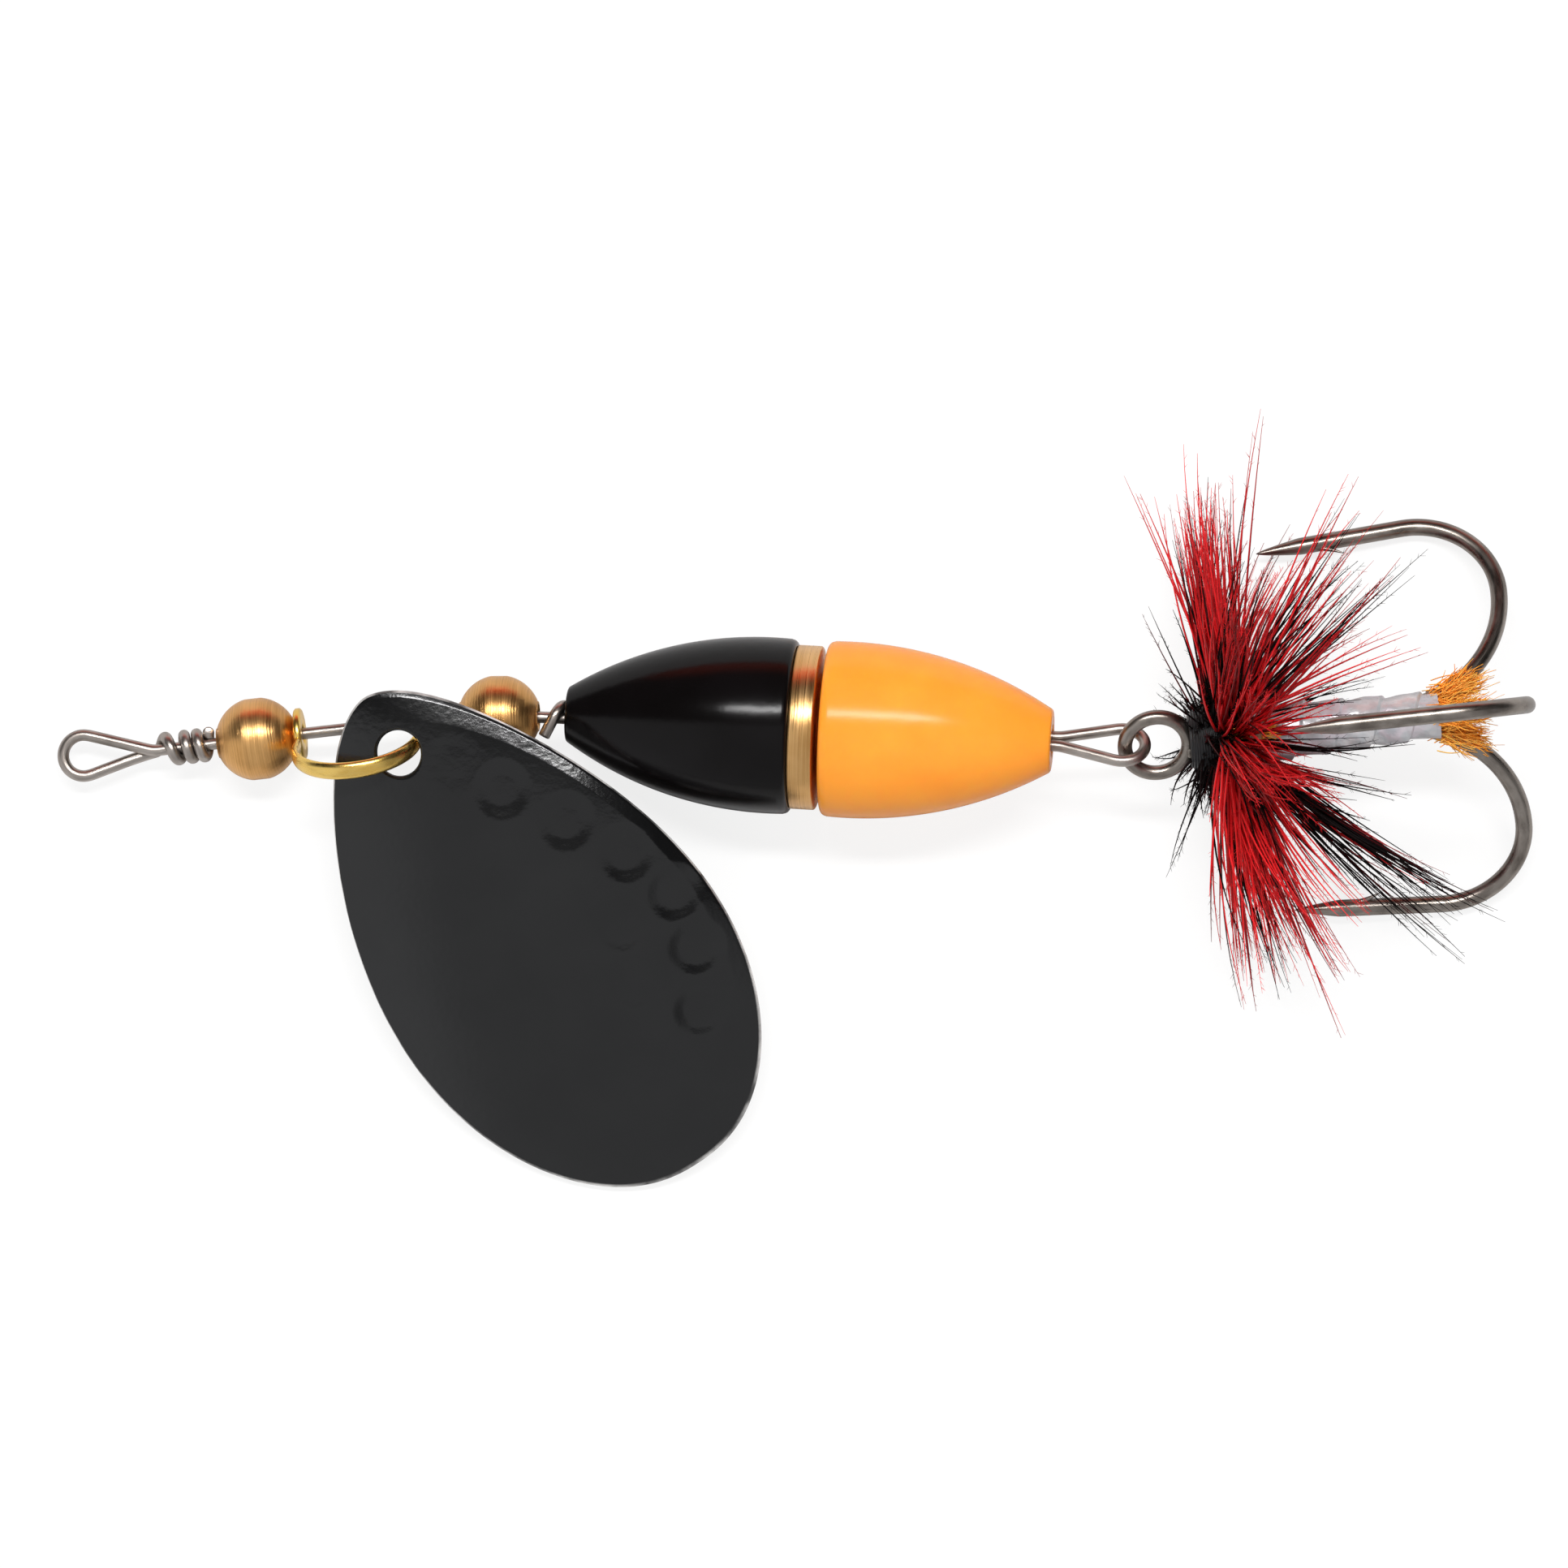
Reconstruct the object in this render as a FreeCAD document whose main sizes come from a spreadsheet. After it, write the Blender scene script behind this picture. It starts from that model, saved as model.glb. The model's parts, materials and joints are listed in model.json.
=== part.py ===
import FreeCAD, Part
import math
import os

import Sketcher
from FreeCAD import Placement, Rotation, Vector

# Inline spinner, lying on a table as it comes to rest.
#
# Frame: the origin is the centre of the line-tie eye, +X runs along the lure towards the hook,
# +Y is across the lure on the side away from the blade and +Z is up. Millimetres.
#
# The shaft is one bent wire. It has a teardrop eye at the nose, a straight front run that carries
# the bead, clevis and second bead, a gentle bend, and a straight rear run that carries the body.
# The wire's end comes back through the body from the closed rear loop.

doc = FreeCAD.newDocument("inline_spinner")
sheet = doc.addObject("Spreadsheet::Sheet", "sizes")

SIZES = [
    # shaft wire
    ("wire_dia", 0.72, "spring wire of the shaft"),
    ("eye_rad", 1.28, "centre-line radius of the line-tie eye"),
    ("throat_len", 4.35, "eye centre to the crossing behind it"),
    ("throat_side", 0.30, "sideways place of that crossing"),
    ("front_yaw", 6.4, "turn of the front run from +X, degrees"),
    ("rear_yaw", -3.2, "turn of the rear run from +X, degrees"),
    ("bend_rad", 60.0, "radius of the gentle bend at that corner"),
    ("lie_tilt", 5.19, "rise of the lying shaft towards the hook, degrees"),
    ("pair_gap", 0.03, "room between the two wires inside the body"),
    ("wrap_start", 1.55, "crossing to the first turn of the wrap"),
    ("wrap_pitch", 0.80, "from turn to turn of the wrap"),
    ("wrap_lean", 12.0, "lean of each turn, degrees"),
    ("wrap_rad", "=wire_dia * 0.95", "centre-line radius of a turn, pressed a little into the core"),
    ("throat_round", "=wire_dia * 4", "centre-line radius of the bend at the crossing"),
    ("leg_apart", "=wire_dia * 1.35", "between both legs of the eye where the lower one dives"),
    ("leg_side", 0.072, "sideways place of the end of the diving leg"),
    ("leg_under", "=wire_dia * 0.95", "depth of the end of the diving leg below the core"),
    ("tail_wrap_gap", 1.15, "body to the turn that the wire's tail ends in"),
    ("loop_rad", 1.40, "centre-line radius of the rear loop"),
    ("loop_reach", 4.30, "body to the centre of that radius"),
    ("loop_roll", -45.0, "roll of the rear loop from flat, degrees"),
    ("flare_len", 3.80, "where the wires part, ahead of the centre of the loop's radius"),
    ("flare_round", "=wire_dia * 3", "centre-line radius of the bends where the wires part"),
    # beads
    ("bead_dia", 5.1, "both beads"),
    ("bead_len", 4.85, "bead from face to face"),
    ("bead_play", 0.18, "bore of a bead over the wire"),
    ("bead_bore", "=wire_dia + bead_play", "bore of a bead"),
    ("bead_sink", 0.45, "depth of the countersink in each face"),
    ("bead_face", "=sqrt(bead_dia ^ 2 - bead_len ^ 2) / 2", "radius of a bead's flat faces"),
    ("bead_mouth", "=min(bead_bore / 2 + bead_sink; bead_face * 0.9)", "radius of the countersink"),
    ("wrap_play", 0.905, "middle of the last turn of the wrap to the front bead"),
    ("front_bead_at", "=wrap_start + wrap_pitch * 2 + wrap_play + bead_len / 2",
     "crossing to the middle of the front bead"),
    # clevis
    ("clevis_span", 7.5, "from ear to ear, at mid thickness"),
    ("clevis_thick", 0.42, "strip thickness"),
    ("clevis_strip", 1.08, "strip width"),
    ("clevis_ear", 3.2, "diameter of an ear"),
    ("ear_play", 0.38, "hole in an ear over the wire"),
    ("clevis_hole", "=wire_dia + ear_play", "hole in an ear"),
    ("clevis_play", 0.055, "front bead to the clevis"),
    ("clevis_at", "=front_bead_at + bead_len / 2 + clevis_play + (clevis_thick + clevis_span) / 2",
     "crossing to the middle of the clevis"),
    ("rear_bead_play", 2.245, "clevis to the rear bead"),
    ("rear_bead_at", "=clevis_at + (clevis_span + clevis_thick) / 2 + rear_bead_play + bead_len / 2",
     "crossing to the middle of the rear bead"),
    ("corner_ahead", 1.17, "corner between both runs ahead of the middle of the rear bead"),
    ("front_run", "=rear_bead_at - corner_ahead", "crossing to the corner between both runs"),
    ("clevis_leg", 2.8, "shaft to the start of the round bow"),
    ("clevis_roll", 24.0, "lean of the clevis towards the blade, degrees"),
    # blade
    ("blade_len", 35.3, "blade from end to end"),
    ("blade_width", 21.35, "blade across"),
    ("blade_thick", 0.55, "sheet thickness"),
    ("blade_cup_long", 58.0, "radius that the blade is dished to, lengthwise"),
    ("blade_cup_cross", 27.0, "radius that the blade is dished to, crosswise"),
    ("blade_crown", 0.55, "place of the dish's crown, as a share of the blade's length"),
    ("hole_play", 1.92, "hole for the clevis over the strip's width"),
    ("blade_hole", "=clevis_strip + hole_play", "hole for the clevis"),
    ("blade_hole_at", 3.7, "top end to the middle of that hole"),
    ("blade_up_bow", 20.0, "how far round the bow the blade hangs, degrees"),
    ("hole_ahead", 0.80, "middle of the hole ahead of the clevis strip"),
    ("hole_aside", 0.35, "middle of the hole to the blade's side of the clevis strip"),
    ("blade_yaw", -54.13, "turn of the blade from +X, degrees"),
    ("blade_pitch", 11.5, "slope of the blade down to the table, degrees"),
    ("blade_roll", 10.5, "lean of the blade on the rear bead, degrees"),
    ("dimple_dia", 3.5, "hammered recess across"),
    ("dimple_depth", 0.20, "depth of a hammered recess"),
    # body
    ("body_play", 1.745, "rear bead to the body"),
    ("body_at", "=rear_bead_at + bead_len / 2 + body_play", "crossing to the front face of the body"),
    ("shell_dia", 10.8, "both shells at the widest"),
    ("pair_play", 0.33, "bore of the body over the doubled wire"),
    ("shell_bore", "=wire_dia * 2 + pair_gap + pair_play", "bore for the doubled wire"),
    ("front_shell_len", 14.0, "black shell"),
    ("front_shell_nose", 3.3, "front face of the black shell"),
    ("front_crest", 12.5, "front face to the widest place of the black shell"),
    ("rear_shell_len", 13.95, "orange shell"),
    ("rear_shell_nose", 3.8, "rear face of the orange shell"),
    ("rear_crest", 1.5, "front face to the widest place of the orange shell"),
    ("rear_gap", 0.35, "running gap in front of the orange shell"),
    ("flange_step", 0.75, "shells over the brass flange, across"),
    ("flange_dia", "=shell_dia - flange_step", "brass flange that shows as a ring"),
    ("flange_len", 1.55, "width of that flange"),
    ("spigot_dia", 6.0, "brass spigots inside the shells"),
    ("spigot_len", 8.0, "length of each spigot"),
    ("glue_gap", 0.03, "radial room for the glue in the black shell"),
    ("run_gap", 0.08, "radial running room in the orange shell"),
    ("spigot_end_gap", 0.40, "room past the end of a spigot"),
    ("front_pocket", "=spigot_dia / 2 + glue_gap", "radius of the pocket in the black shell"),
    ("rear_pocket", "=spigot_dia / 2 + run_gap", "radius of the pocket in the orange shell"),
    ("pocket_len", "=spigot_len + spigot_end_gap", "depth of each pocket"),
    ("front_drop", "=(shell_dia - front_shell_nose) / 2", "fall of the black shell to its nose"),
    ("front_arc", "=(front_drop ^ 2 + front_crest ^ 2) / (front_drop * 2)", "arc of the black shell"),
    ("front_rim", "=shell_dia / 2 - front_arc + sqrt(front_arc ^ 2 - (front_shell_len - front_crest) ^ 2)",
     "rim radius of the black shell"),
    ("rear_drop", "=(shell_dia - rear_shell_nose) / 2", "fall of the orange shell to its nose"),
    ("rear_arc", "=(rear_drop ^ 2 + (rear_shell_len - rear_crest) ^ 2) / (rear_drop * 2)",
     "arc of the orange shell"),
    ("rear_rim", "=shell_dia / 2 - rear_arc + sqrt(rear_arc ^ 2 - rear_crest ^ 2)",
     "rim radius of the orange shell"),
    ("shell_round", 0.35, "rounded edges of both shells"),
    # treble hook
    ("hook_wire", 1.05, "hook wire"),
    ("ring_wire", 0.90, "wire of the hook's eye"),
    ("ring_rad", 1.95, "centre-line radius of the hook's eye"),
    ("ring_roll", 30.0, "roll of the hook's eye from flat, degrees"),
    ("ring_play", 0.70, "eye centre behind the wire of the rear loop"),
    ("hook_yaw", 6.2, "turn of the hook's shank from +X, degrees"),
    ("shank_len", 14.2, "eye centre to the start of the bends"),
    ("bend_low_rad", 7.87, "radius of the first part of a bend"),
    ("bend_high_rad", 5.0, "radius of the second part of a bend"),
    ("point_len", 9.1, "straight spear of a hook with its point"),
    ("point_in", 4.4, "lean of the spear towards the shank, degrees"),
    ("point_taper", 2.6, "ground length of the point"),
    ("point_end", "=hook_wire / 16", "radius of the very tip"),
    ("barb_at", 4.6, "tip to the barb"),
    ("barb_len", "=hook_wire * 1.7", "length of the barb"),
    ("barb_root", "=hook_wire * 0.3", "radius of the barb where it is raised"),
    ("barb_end", "=hook_wire * 0.04", "radius of the barb's tip"),
    ("barb_lift", 22.8, "rise of the barb from the spear, degrees"),
    ("shank_gap", 0.02, "braze between the shanks"),
    ("shank_off", "=(hook_wire + shank_gap) / sqrt(3)", "each shank's centre from the hook's axis"),
    # dressing on the shank
    ("dress_gap", 0.03, "room between the shanks and what is wound on them"),
    ("wound_bore", "=shank_off + hook_wire / 2 + dress_gap", "bore radius of what is wound on"),
    ("head_start", 2.45, "eye centre to the thread head"),
    ("head_len", 0.80, "thread head"),
    ("head_dia", 4.2, "thread head across"),
    ("collar_len", 1.00, "wound quill of one hackle"),
    ("collar_dia", 3.8, "wound quill of one hackle across"),
    ("floss_len", 1.80, "floss underbody behind the hackles"),
    ("floss_dia", 3.1, "floss underbody across"),
    ("tinsel_len", 7.00, "tinsel wrap"),
    ("tinsel_big", 3.5, "tinsel wrap across at the front"),
    ("tinsel_small", 2.8, "tinsel wrap across at the rear"),
    ("tag_dia", 2.0, "floss tag round a hook's bend"),
    ("tag_first", 30.0, "start of a tag round the bend, degrees"),
    ("tag_last", 50.0, "end of a tag round the bend, degrees"),
    ("fibre_reach", 19.0, "hackle fibres from the shank's axis"),
    ("clump_base", 0.42, "radius of a clump of fibres at the quill"),
    ("clump_sink", 0.30, "clump roots below the outside of the quill"),
    ("clump_tip", 0.12, "radius of a clump at its end"),
    ("rest_clear", 0.35, "clumps stay this far above the table"),
]

for row, (name, value, note) in enumerate(SIZES, start=1):
    sheet.set(f"A{row}", note)
    sheet.set(f"B{row}", str(value))
    sheet.setAlias(f"B{row}", name)
doc.recompute()


def size(name):
    """The value of one named size."""
    return float(sheet.get(name))


def turn(axis, degrees):
    """A placement that only turns."""
    return Placement(Vector(0, 0, 0), Rotation(axis, degrees))


def shift(x, y=0.0, z=0.0):
    """A placement that only moves."""
    return Placement(Vector(x, y, z), Rotation())


AXIS_X = Vector(1, 0, 0)
AXIS_Y = Vector(0, 1, 0)
AXIS_Z = Vector(0, 0, 1)


# ---------------------------------------------------------------- frames along the shaft

TILT = turn(AXIS_Y, -size("lie_tilt"))
THROAT = Vector(size("throat_len"), size("throat_side"), 0)
HALF_BEND = (size("front_yaw") - size("rear_yaw")) / 2
BEND_TANGENT = size("bend_rad") * math.tan(math.radians(HALF_BEND))
FRONT_FRAME = TILT * Placement(THROAT, Rotation(AXIS_Z, size("front_yaw")))
CORNER = THROAT + turn(AXIS_Z, size("front_yaw")).multVec(Vector(size("front_run"), 0, 0))
REAR_START = size("body_at") - size("front_run")


def on_front(along):
    """Place on the front run, +X along the wire, at a distance behind the crossing."""
    return FRONT_FRAME * shift(along)


def on_bend(along):
    """Place on the gentle bend, at a distance behind the crossing."""
    arc = along - (size("front_run") - BEND_TANGENT)
    turned = arc / size("bend_rad")
    x = size("front_run") - BEND_TANGENT + size("bend_rad") * math.sin(turned)
    y = -size("bend_rad") * (1 - math.cos(turned))
    return FRONT_FRAME * shift(x, y) * turn(AXIS_Z, -math.degrees(turned))


# The main wire and the tail lie side by side in the body, so the body's axis runs between them.
REAR_WIRE = TILT * Placement(CORNER, Rotation(AXIS_Z, size("rear_yaw"))) * shift(REAR_START)
PAIR = REAR_WIRE * turn(AXIS_X, size("loop_roll"))
PAIR_HALF = (size("wire_dia") + size("pair_gap")) / 2
BODY_AXIS = PAIR * shift(0, PAIR_HALF)
BODY_LEN = size("front_shell_len") + size("flange_len") + size("rear_gap") + size("rear_shell_len")
LOOP_CENTRE = BODY_AXIS * shift(BODY_LEN + size("loop_reach"))
LOOP_NOSE = LOOP_CENTRE * shift(size("loop_rad"))

# The hook hangs level in the loop: its eye's centre lies behind the loop's nose.
NOSE_POINT = LOOP_NOSE.Base
HOOK_TURN = turn(AXIS_Z, size("hook_yaw"))
HOOK = Placement(NOSE_POINT, HOOK_TURN.Rotation) * shift(size("ring_play"))


# ---------------------------------------------------------------- sketch and solid helpers

def origin_plane(body, role):
    """One of a body's own origin planes."""
    return next(item for item in body.Origin.OriginFeatures if item.Role == role)


def pin(sketch, name, kind, index, corner, expression, drawn):
    """Tie one coordinate of a sketch point to the spreadsheet."""
    constraint = sketch.addConstraint(Sketcher.Constraint(kind, -1, 1, index, corner, drawn))
    sketch.renameConstraint(constraint, name)
    sketch.setExpression(f"Constraints.{name}", expression)


def outline(sketch, corners, arcs=None):
    """Closed outline whose corners are pairs of spreadsheet expressions. A side that is an arc is
    given as its middle point and the height of its centre, also as expressions."""
    arcs = arcs or {}
    drawn = [sheet_point(sketch, across, up) for across, up in corners]
    count = len(corners)
    ends = []
    for index in range(count):
        start = drawn[index]
        stop = drawn[(index + 1) % count]
        if index not in arcs:
            sketch.addGeometry(Part.LineSegment(start, stop), False)
            ends.append((1, 2))
            continue
        across, up, centre = arcs[index]
        arc = Part.Arc(start, sheet_point(sketch, across, up), stop)
        sketch.addGeometry(arc, False)
        # A sketch keeps arcs anticlockwise, so the side may run against its own ends.
        forward = (start - sketch.getPoint(index, 1)).Length < NEAR
        ends.append((1, 2) if forward else (2, 1))
    for index in range(count):
        following = (index + 1) % count
        sketch.addConstraint(
            Sketcher.Constraint("Coincident", index, ends[index][1], following, ends[following][0]))
    for index, (across, up) in enumerate(corners):
        pin(sketch, f"across{index}", "DistanceX", index, ends[index][0], across, drawn[index].x)
        pin(sketch, f"up{index}", "DistanceY", index, ends[index][0], up, drawn[index].y)
    for index, (across, up, centre) in arcs.items():
        pin(sketch, f"centre{index}", "DistanceY", index, 3, centre, float(sketch.evalExpression(centre)))


def sheet_point(sketch, across, up):
    """Point whose coordinates are spreadsheet expressions."""
    return Vector(float(sketch.evalExpression(across)), float(sketch.evalExpression(up)), 0)


def new_body(name, role="XY_Plane"):
    """A body with one empty sketch on one of its origin planes."""
    body = doc.addObject("PartDesign::Body", name)
    sketch = body.newObject("Sketcher::SketchObject", name + "_outline")
    sketch.AttachmentSupport = [(origin_plane(body, role), "")]
    sketch.MapMode = "FlatFace"
    return body, sketch


def turned(name, corners, arcs=None):
    """Body turned about its own X axis from an outline."""
    body, sketch = new_body(name)
    outline(sketch, corners, arcs)
    feature = body.newObject("PartDesign::Revolution", name + "_turning")
    feature.Profile = sketch
    feature.ReferenceAxis = (sketch, ["H_Axis"])
    feature.Angle = 360
    body.Tip = feature
    doc.recompute()
    return body


def cut(name, base, tool):
    """Boolean cut of two document objects."""
    result = doc.addObject("Part::Cut", name)
    result.Base = base
    result.Tool = tool
    return result


def common(name, base, tool):
    """Boolean intersection of two document objects."""
    result = doc.addObject("Part::Common", name)
    result.Base = base
    result.Tool = tool
    return result


def fuse(name, pieces):
    """Boolean union of several document objects."""
    result = doc.addObject("Part::MultiFuse", name)
    result.Shapes = pieces
    return result


def ball(name, radius, place):
    """Sphere whose radius is a spreadsheet expression."""
    result = doc.addObject("Part::Sphere", name)
    result.setExpression("Radius", radius)
    result.Placement = place
    return result


def rod(name, radius, length, place):
    """Cylinder along its own Z, sized by spreadsheet expressions."""
    result = doc.addObject("Part::Cylinder", name)
    result.setExpression("Radius", radius)
    result.setExpression("Height", length)
    result.Placement = place
    return result


def ring(name, major, minor, place):
    """Torus about its own Z, sized by spreadsheet expressions."""
    result = doc.addObject("Part::Torus", name)
    result.setExpression("Radius1", major)
    result.setExpression("Radius2", minor)
    result.Placement = place
    return result


ALONG_X = turn(AXIS_Y, 90)
NEAR = 1e-6


def rounded_route(corners):
    """Edges of a flat route: straight runs joined by tangent arcs. Corners are (x, y, radius)."""
    points = [Vector(x, y, 0) for x, y, radius in corners]
    edges = []
    start = points[0]
    for index in range(1, len(points) - 1):
        before = (points[index - 1] - points[index]).normalize()
        after = (points[index + 1] - points[index]).normalize()
        half = before.getAngle(after) / 2
        radius = corners[index][2]
        back = radius / math.tan(half)
        centre_way = (before + after).normalize()
        centre = points[index] + centre_way * (radius / math.sin(half))
        enter = points[index] + before * back
        leave = points[index] + after * back
        middle = centre - centre_way * radius
        if (enter - start).Length > NEAR:
            edges.append(Part.LineSegment(start, enter))
        edges.append(Part.Arc(enter, middle, leave))
        start = leave
    edges.append(Part.LineSegment(start, points[-1]))
    return edges


def bent_wire(name, route, radius, place):
    """Round wire swept along a flat route of lines and arcs in its own XY plane."""
    path = doc.addObject("Sketcher::SketchObject", name + "_route")
    for edge in route:
        path.addGeometry(edge, False)
    section = doc.addObject("Part::Circle", name + "_section")
    section.setExpression("Radius", radius)
    first = route[0].toShape()
    heading = first.tangentAt(first.FirstParameter)
    section.Placement = Placement(route[0].StartPoint, Rotation(AXIS_Z, heading))
    doc.recompute()
    sweep = doc.addObject("Part::Sweep", name)
    sweep.Sections = [section]
    sweep.Spine = (path, [f"Edge{index + 1}" for index in range(len(route))])
    sweep.Solid = True
    sweep.Frenet = False
    sweep.Transition = "Right corner"
    sweep.Placement = place
    return sweep


# ---------------------------------------------------------------- shaft wire

WRAP_TURNS = 3


def shaft_wire():
    """Teardrop eye, wrap, both runs, rear loop and tail, as one wire."""
    eye = size("eye_rad")
    reach = THROAT.Length
    facing = math.degrees(math.atan2(THROAT.y, THROAT.x))
    flare = math.asin(eye / reach)
    wide = (reach + eye) * math.tan(flare)
    aim = turn(AXIS_Z, facing)
    lower_end = reach - size("leg_apart") / (2 * math.tan(flare))
    rear_join = (TILT.inverse() * REAR_WIRE * shift(size("front_shell_len"))).Base

    nose_low = aim.multVec(Vector(-eye, -wide, 0))
    nose_high = aim.multVec(Vector(-eye, wide, 0))
    lower_stop = aim.multVec(Vector(lower_end, -(reach - lower_end) * math.tan(flare), 0))
    front_corners = [
        (rear_join.x, rear_join.y, 0),
        (CORNER.x, CORNER.y, size("bend_rad")),
        (THROAT.x, THROAT.y, size("throat_round")),
        (nose_high.x, nose_high.y, eye),
        (nose_low.x, nose_low.y, eye),
        (lower_stop.x, lower_stop.y, 0),
    ]
    radius = "sizes.wire_dia / 2"
    front = bent_wire("front_wire", rounded_route(front_corners), radius, TILT)

    # The lower leg passes under the core and becomes the wrap.
    wrap_base = (TILT.inverse() * on_front(size("wrap_start"))).Base
    leg_from = lower_stop
    leg_to = wrap_base + Vector(0, size("leg_side"), -size("leg_under"))
    leg_way = leg_to - leg_from
    leg_place = TILT * Placement(leg_from, Rotation(AXIS_Z, leg_way))
    leg = doc.addObject("Part::Cylinder", "wrap_leg")
    leg.setExpression("Radius", radius)
    leg.Height = leg_way.Length
    leg.Placement = leg_place
    pieces = [front, leg, ball("leg_start", radius, TILT * Placement(leg_from, Rotation()))]
    wrap_lean = turn(AXIS_Y, 90) * turn(AXIS_Y, size("wrap_lean"))
    for count in range(WRAP_TURNS):
        along = size("wrap_start") + count * size("wrap_pitch")
        place = on_front(along) * wrap_lean
        pieces.append(ring(f"wrap_turn_{count}", "sizes.wrap_rad", radius, place))

    # Rear loop, in the plane of the wire pair, and the tail that runs back through the body.
    spread = PAIR_HALF
    flare_start = BODY_LEN + size("loop_reach") - size("flare_len")
    flare_len = size("flare_len")
    loop = size("loop_rad")
    slope = math.asin(loop / math.hypot(flare_len, spread)) - math.atan(spread / flare_len)
    nose_x = BODY_LEN + size("loop_reach") + loop
    nose_y = spread + (nose_x - flare_start) * math.tan(slope)
    soft = size("flare_round")
    rear_corners = [
        (size("front_shell_len"), -spread, 0),
        (flare_start, -spread, soft),
        (nose_x, -nose_y, loop),
        (nose_x, nose_y, loop),
        (flare_start, spread, soft),
        (-size("tail_wrap_gap"), spread, 0),
    ]
    rear = bent_wire("rear_wire", rounded_route(rear_corners), radius, BODY_AXIS)
    pieces.append(rear)
    tail_place = REAR_WIRE * shift(-size("tail_wrap_gap")) * turn(AXIS_Y, 90)
    pieces.append(ring("tail_turn", "sizes.wrap_rad", radius, tail_place))
    whole = fuse("shaft_wire", pieces)
    doc.recompute()
    return whole


# ---------------------------------------------------------------- beads

def bead(name, place):
    """Turned bead: a ball with flat faces, a bore and a countersink in each face."""
    corners = [
        ("-sizes.bead_len / 2", "sizes.bead_mouth"),
        ("-sizes.bead_len / 2", "sizes.bead_face"),
        ("sizes.bead_len / 2", "sizes.bead_face"),
        ("sizes.bead_len / 2", "sizes.bead_mouth"),
        ("sizes.bead_len / 2 - sizes.bead_sink", "sizes.bead_bore / 2"),
        ("sizes.bead_sink - sizes.bead_len / 2", "sizes.bead_bore / 2"),
    ]
    body = turned(name, corners, {1: ("0", "sizes.bead_dia / 2", "0")})
    body.Placement = place
    doc.recompute()
    return body


# ---------------------------------------------------------------- clevis

# The clevis stands up from the shaft, leaning towards the blade. In its own frame +X runs along
# the shaft and +Z from the shaft to the bow.
CLEVIS = on_front(size("clevis_at")) * turn(AXIS_X, size("clevis_roll"))


def clevis():
    """Strip bent to a U: two round drilled ears, two legs and a half-round bow."""
    outer = "(sizes.clevis_span + sizes.clevis_thick) / 2"
    inner = "(sizes.clevis_span - sizes.clevis_thick) / 2"
    foot = "-sizes.clevis_ear / 2"
    leg = "sizes.clevis_leg"
    corners = [
        (f"-{inner}", leg),
        (f"-{inner}", foot),
        (f"-{outer}", foot),
        (f"-{outer}", leg),
        (outer, leg),
        (outer, foot),
        (inner, foot),
        (inner, leg),
    ]
    bows = {3: ("0", f"{leg} + {outer}", leg), 7: ("0", f"{leg} + {inner}", leg)}
    body, sketch = new_body("clevis_band", "XZ_Plane")
    outline(sketch, corners, bows)
    pad = body.newObject("PartDesign::Pad", "clevis_band_width")
    pad.Profile = sketch
    pad.setExpression("Length", "sizes.clevis_ear")
    pad.Midplane = True
    body.Tip = pad
    doc.recompute()

    # Seen along the shaft the strip is a round ear that narrows to an even width.
    ears = rod("clevis_ears", "sizes.clevis_ear / 2", "sizes.clevis_span * 2",
               shift(-size("clevis_span")) * ALONG_X)
    strip = doc.addObject("Part::Box", "clevis_strip_width")
    strip.setExpression("Length", "sizes.clevis_span * 2")
    strip.setExpression("Width", "sizes.clevis_strip")
    strip.setExpression("Height", "sizes.clevis_leg + sizes.clevis_span")
    strip.Placement = shift(-size("clevis_span"), -size("clevis_strip") / 2)
    shape = fuse("clevis_side_view", [ears, strip])
    trimmed = common("clevis_trimmed", body, shape)
    holes = rod("clevis_holes", "sizes.clevis_hole / 2", "sizes.clevis_span * 2",
                shift(-size("clevis_span")) * ALONG_X)
    whole = cut("clevis", trimmed, holes)
    whole.Placement = CLEVIS
    doc.recompute()
    return whole


# ---------------------------------------------------------------- blade

# The blade hangs on the rear part of the clevis bow. Its own frame has its origin at the middle of
# the hole, +X to the far end and +Z on the domed side.
BOW_CENTRE = CLEVIS * shift(0, 0, size("clevis_leg"))
BOW_POINT = (BOW_CENTRE * turn(AXIS_Y, -size("blade_up_bow")) * shift(size("clevis_span") / 2)).Base
HOLE_POINT = BOW_POINT - Vector(size("hole_ahead"), size("hole_aside"), 0)
BLADE_TURN = (turn(AXIS_Z, size("blade_yaw")) * turn(AXIS_Y, size("blade_pitch"))
              * turn(AXIS_X, size("blade_roll")))
BLADE = Placement(HOLE_POINT, BLADE_TURN.Rotation)


BLADE_SKEW = 1.314
BLADE_ROUND = 0.437
OUTLINE_SAMPLES = 26


def blade_half_width(share):
    """Half the blade's width at a share of its length: a sine arch, skewed to the far end and
    raised to a power below one so that both ends are round."""
    skew = share ** BLADE_SKEW
    return size("blade_width") / 2 * math.sin(math.pi * skew) ** BLADE_ROUND


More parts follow.
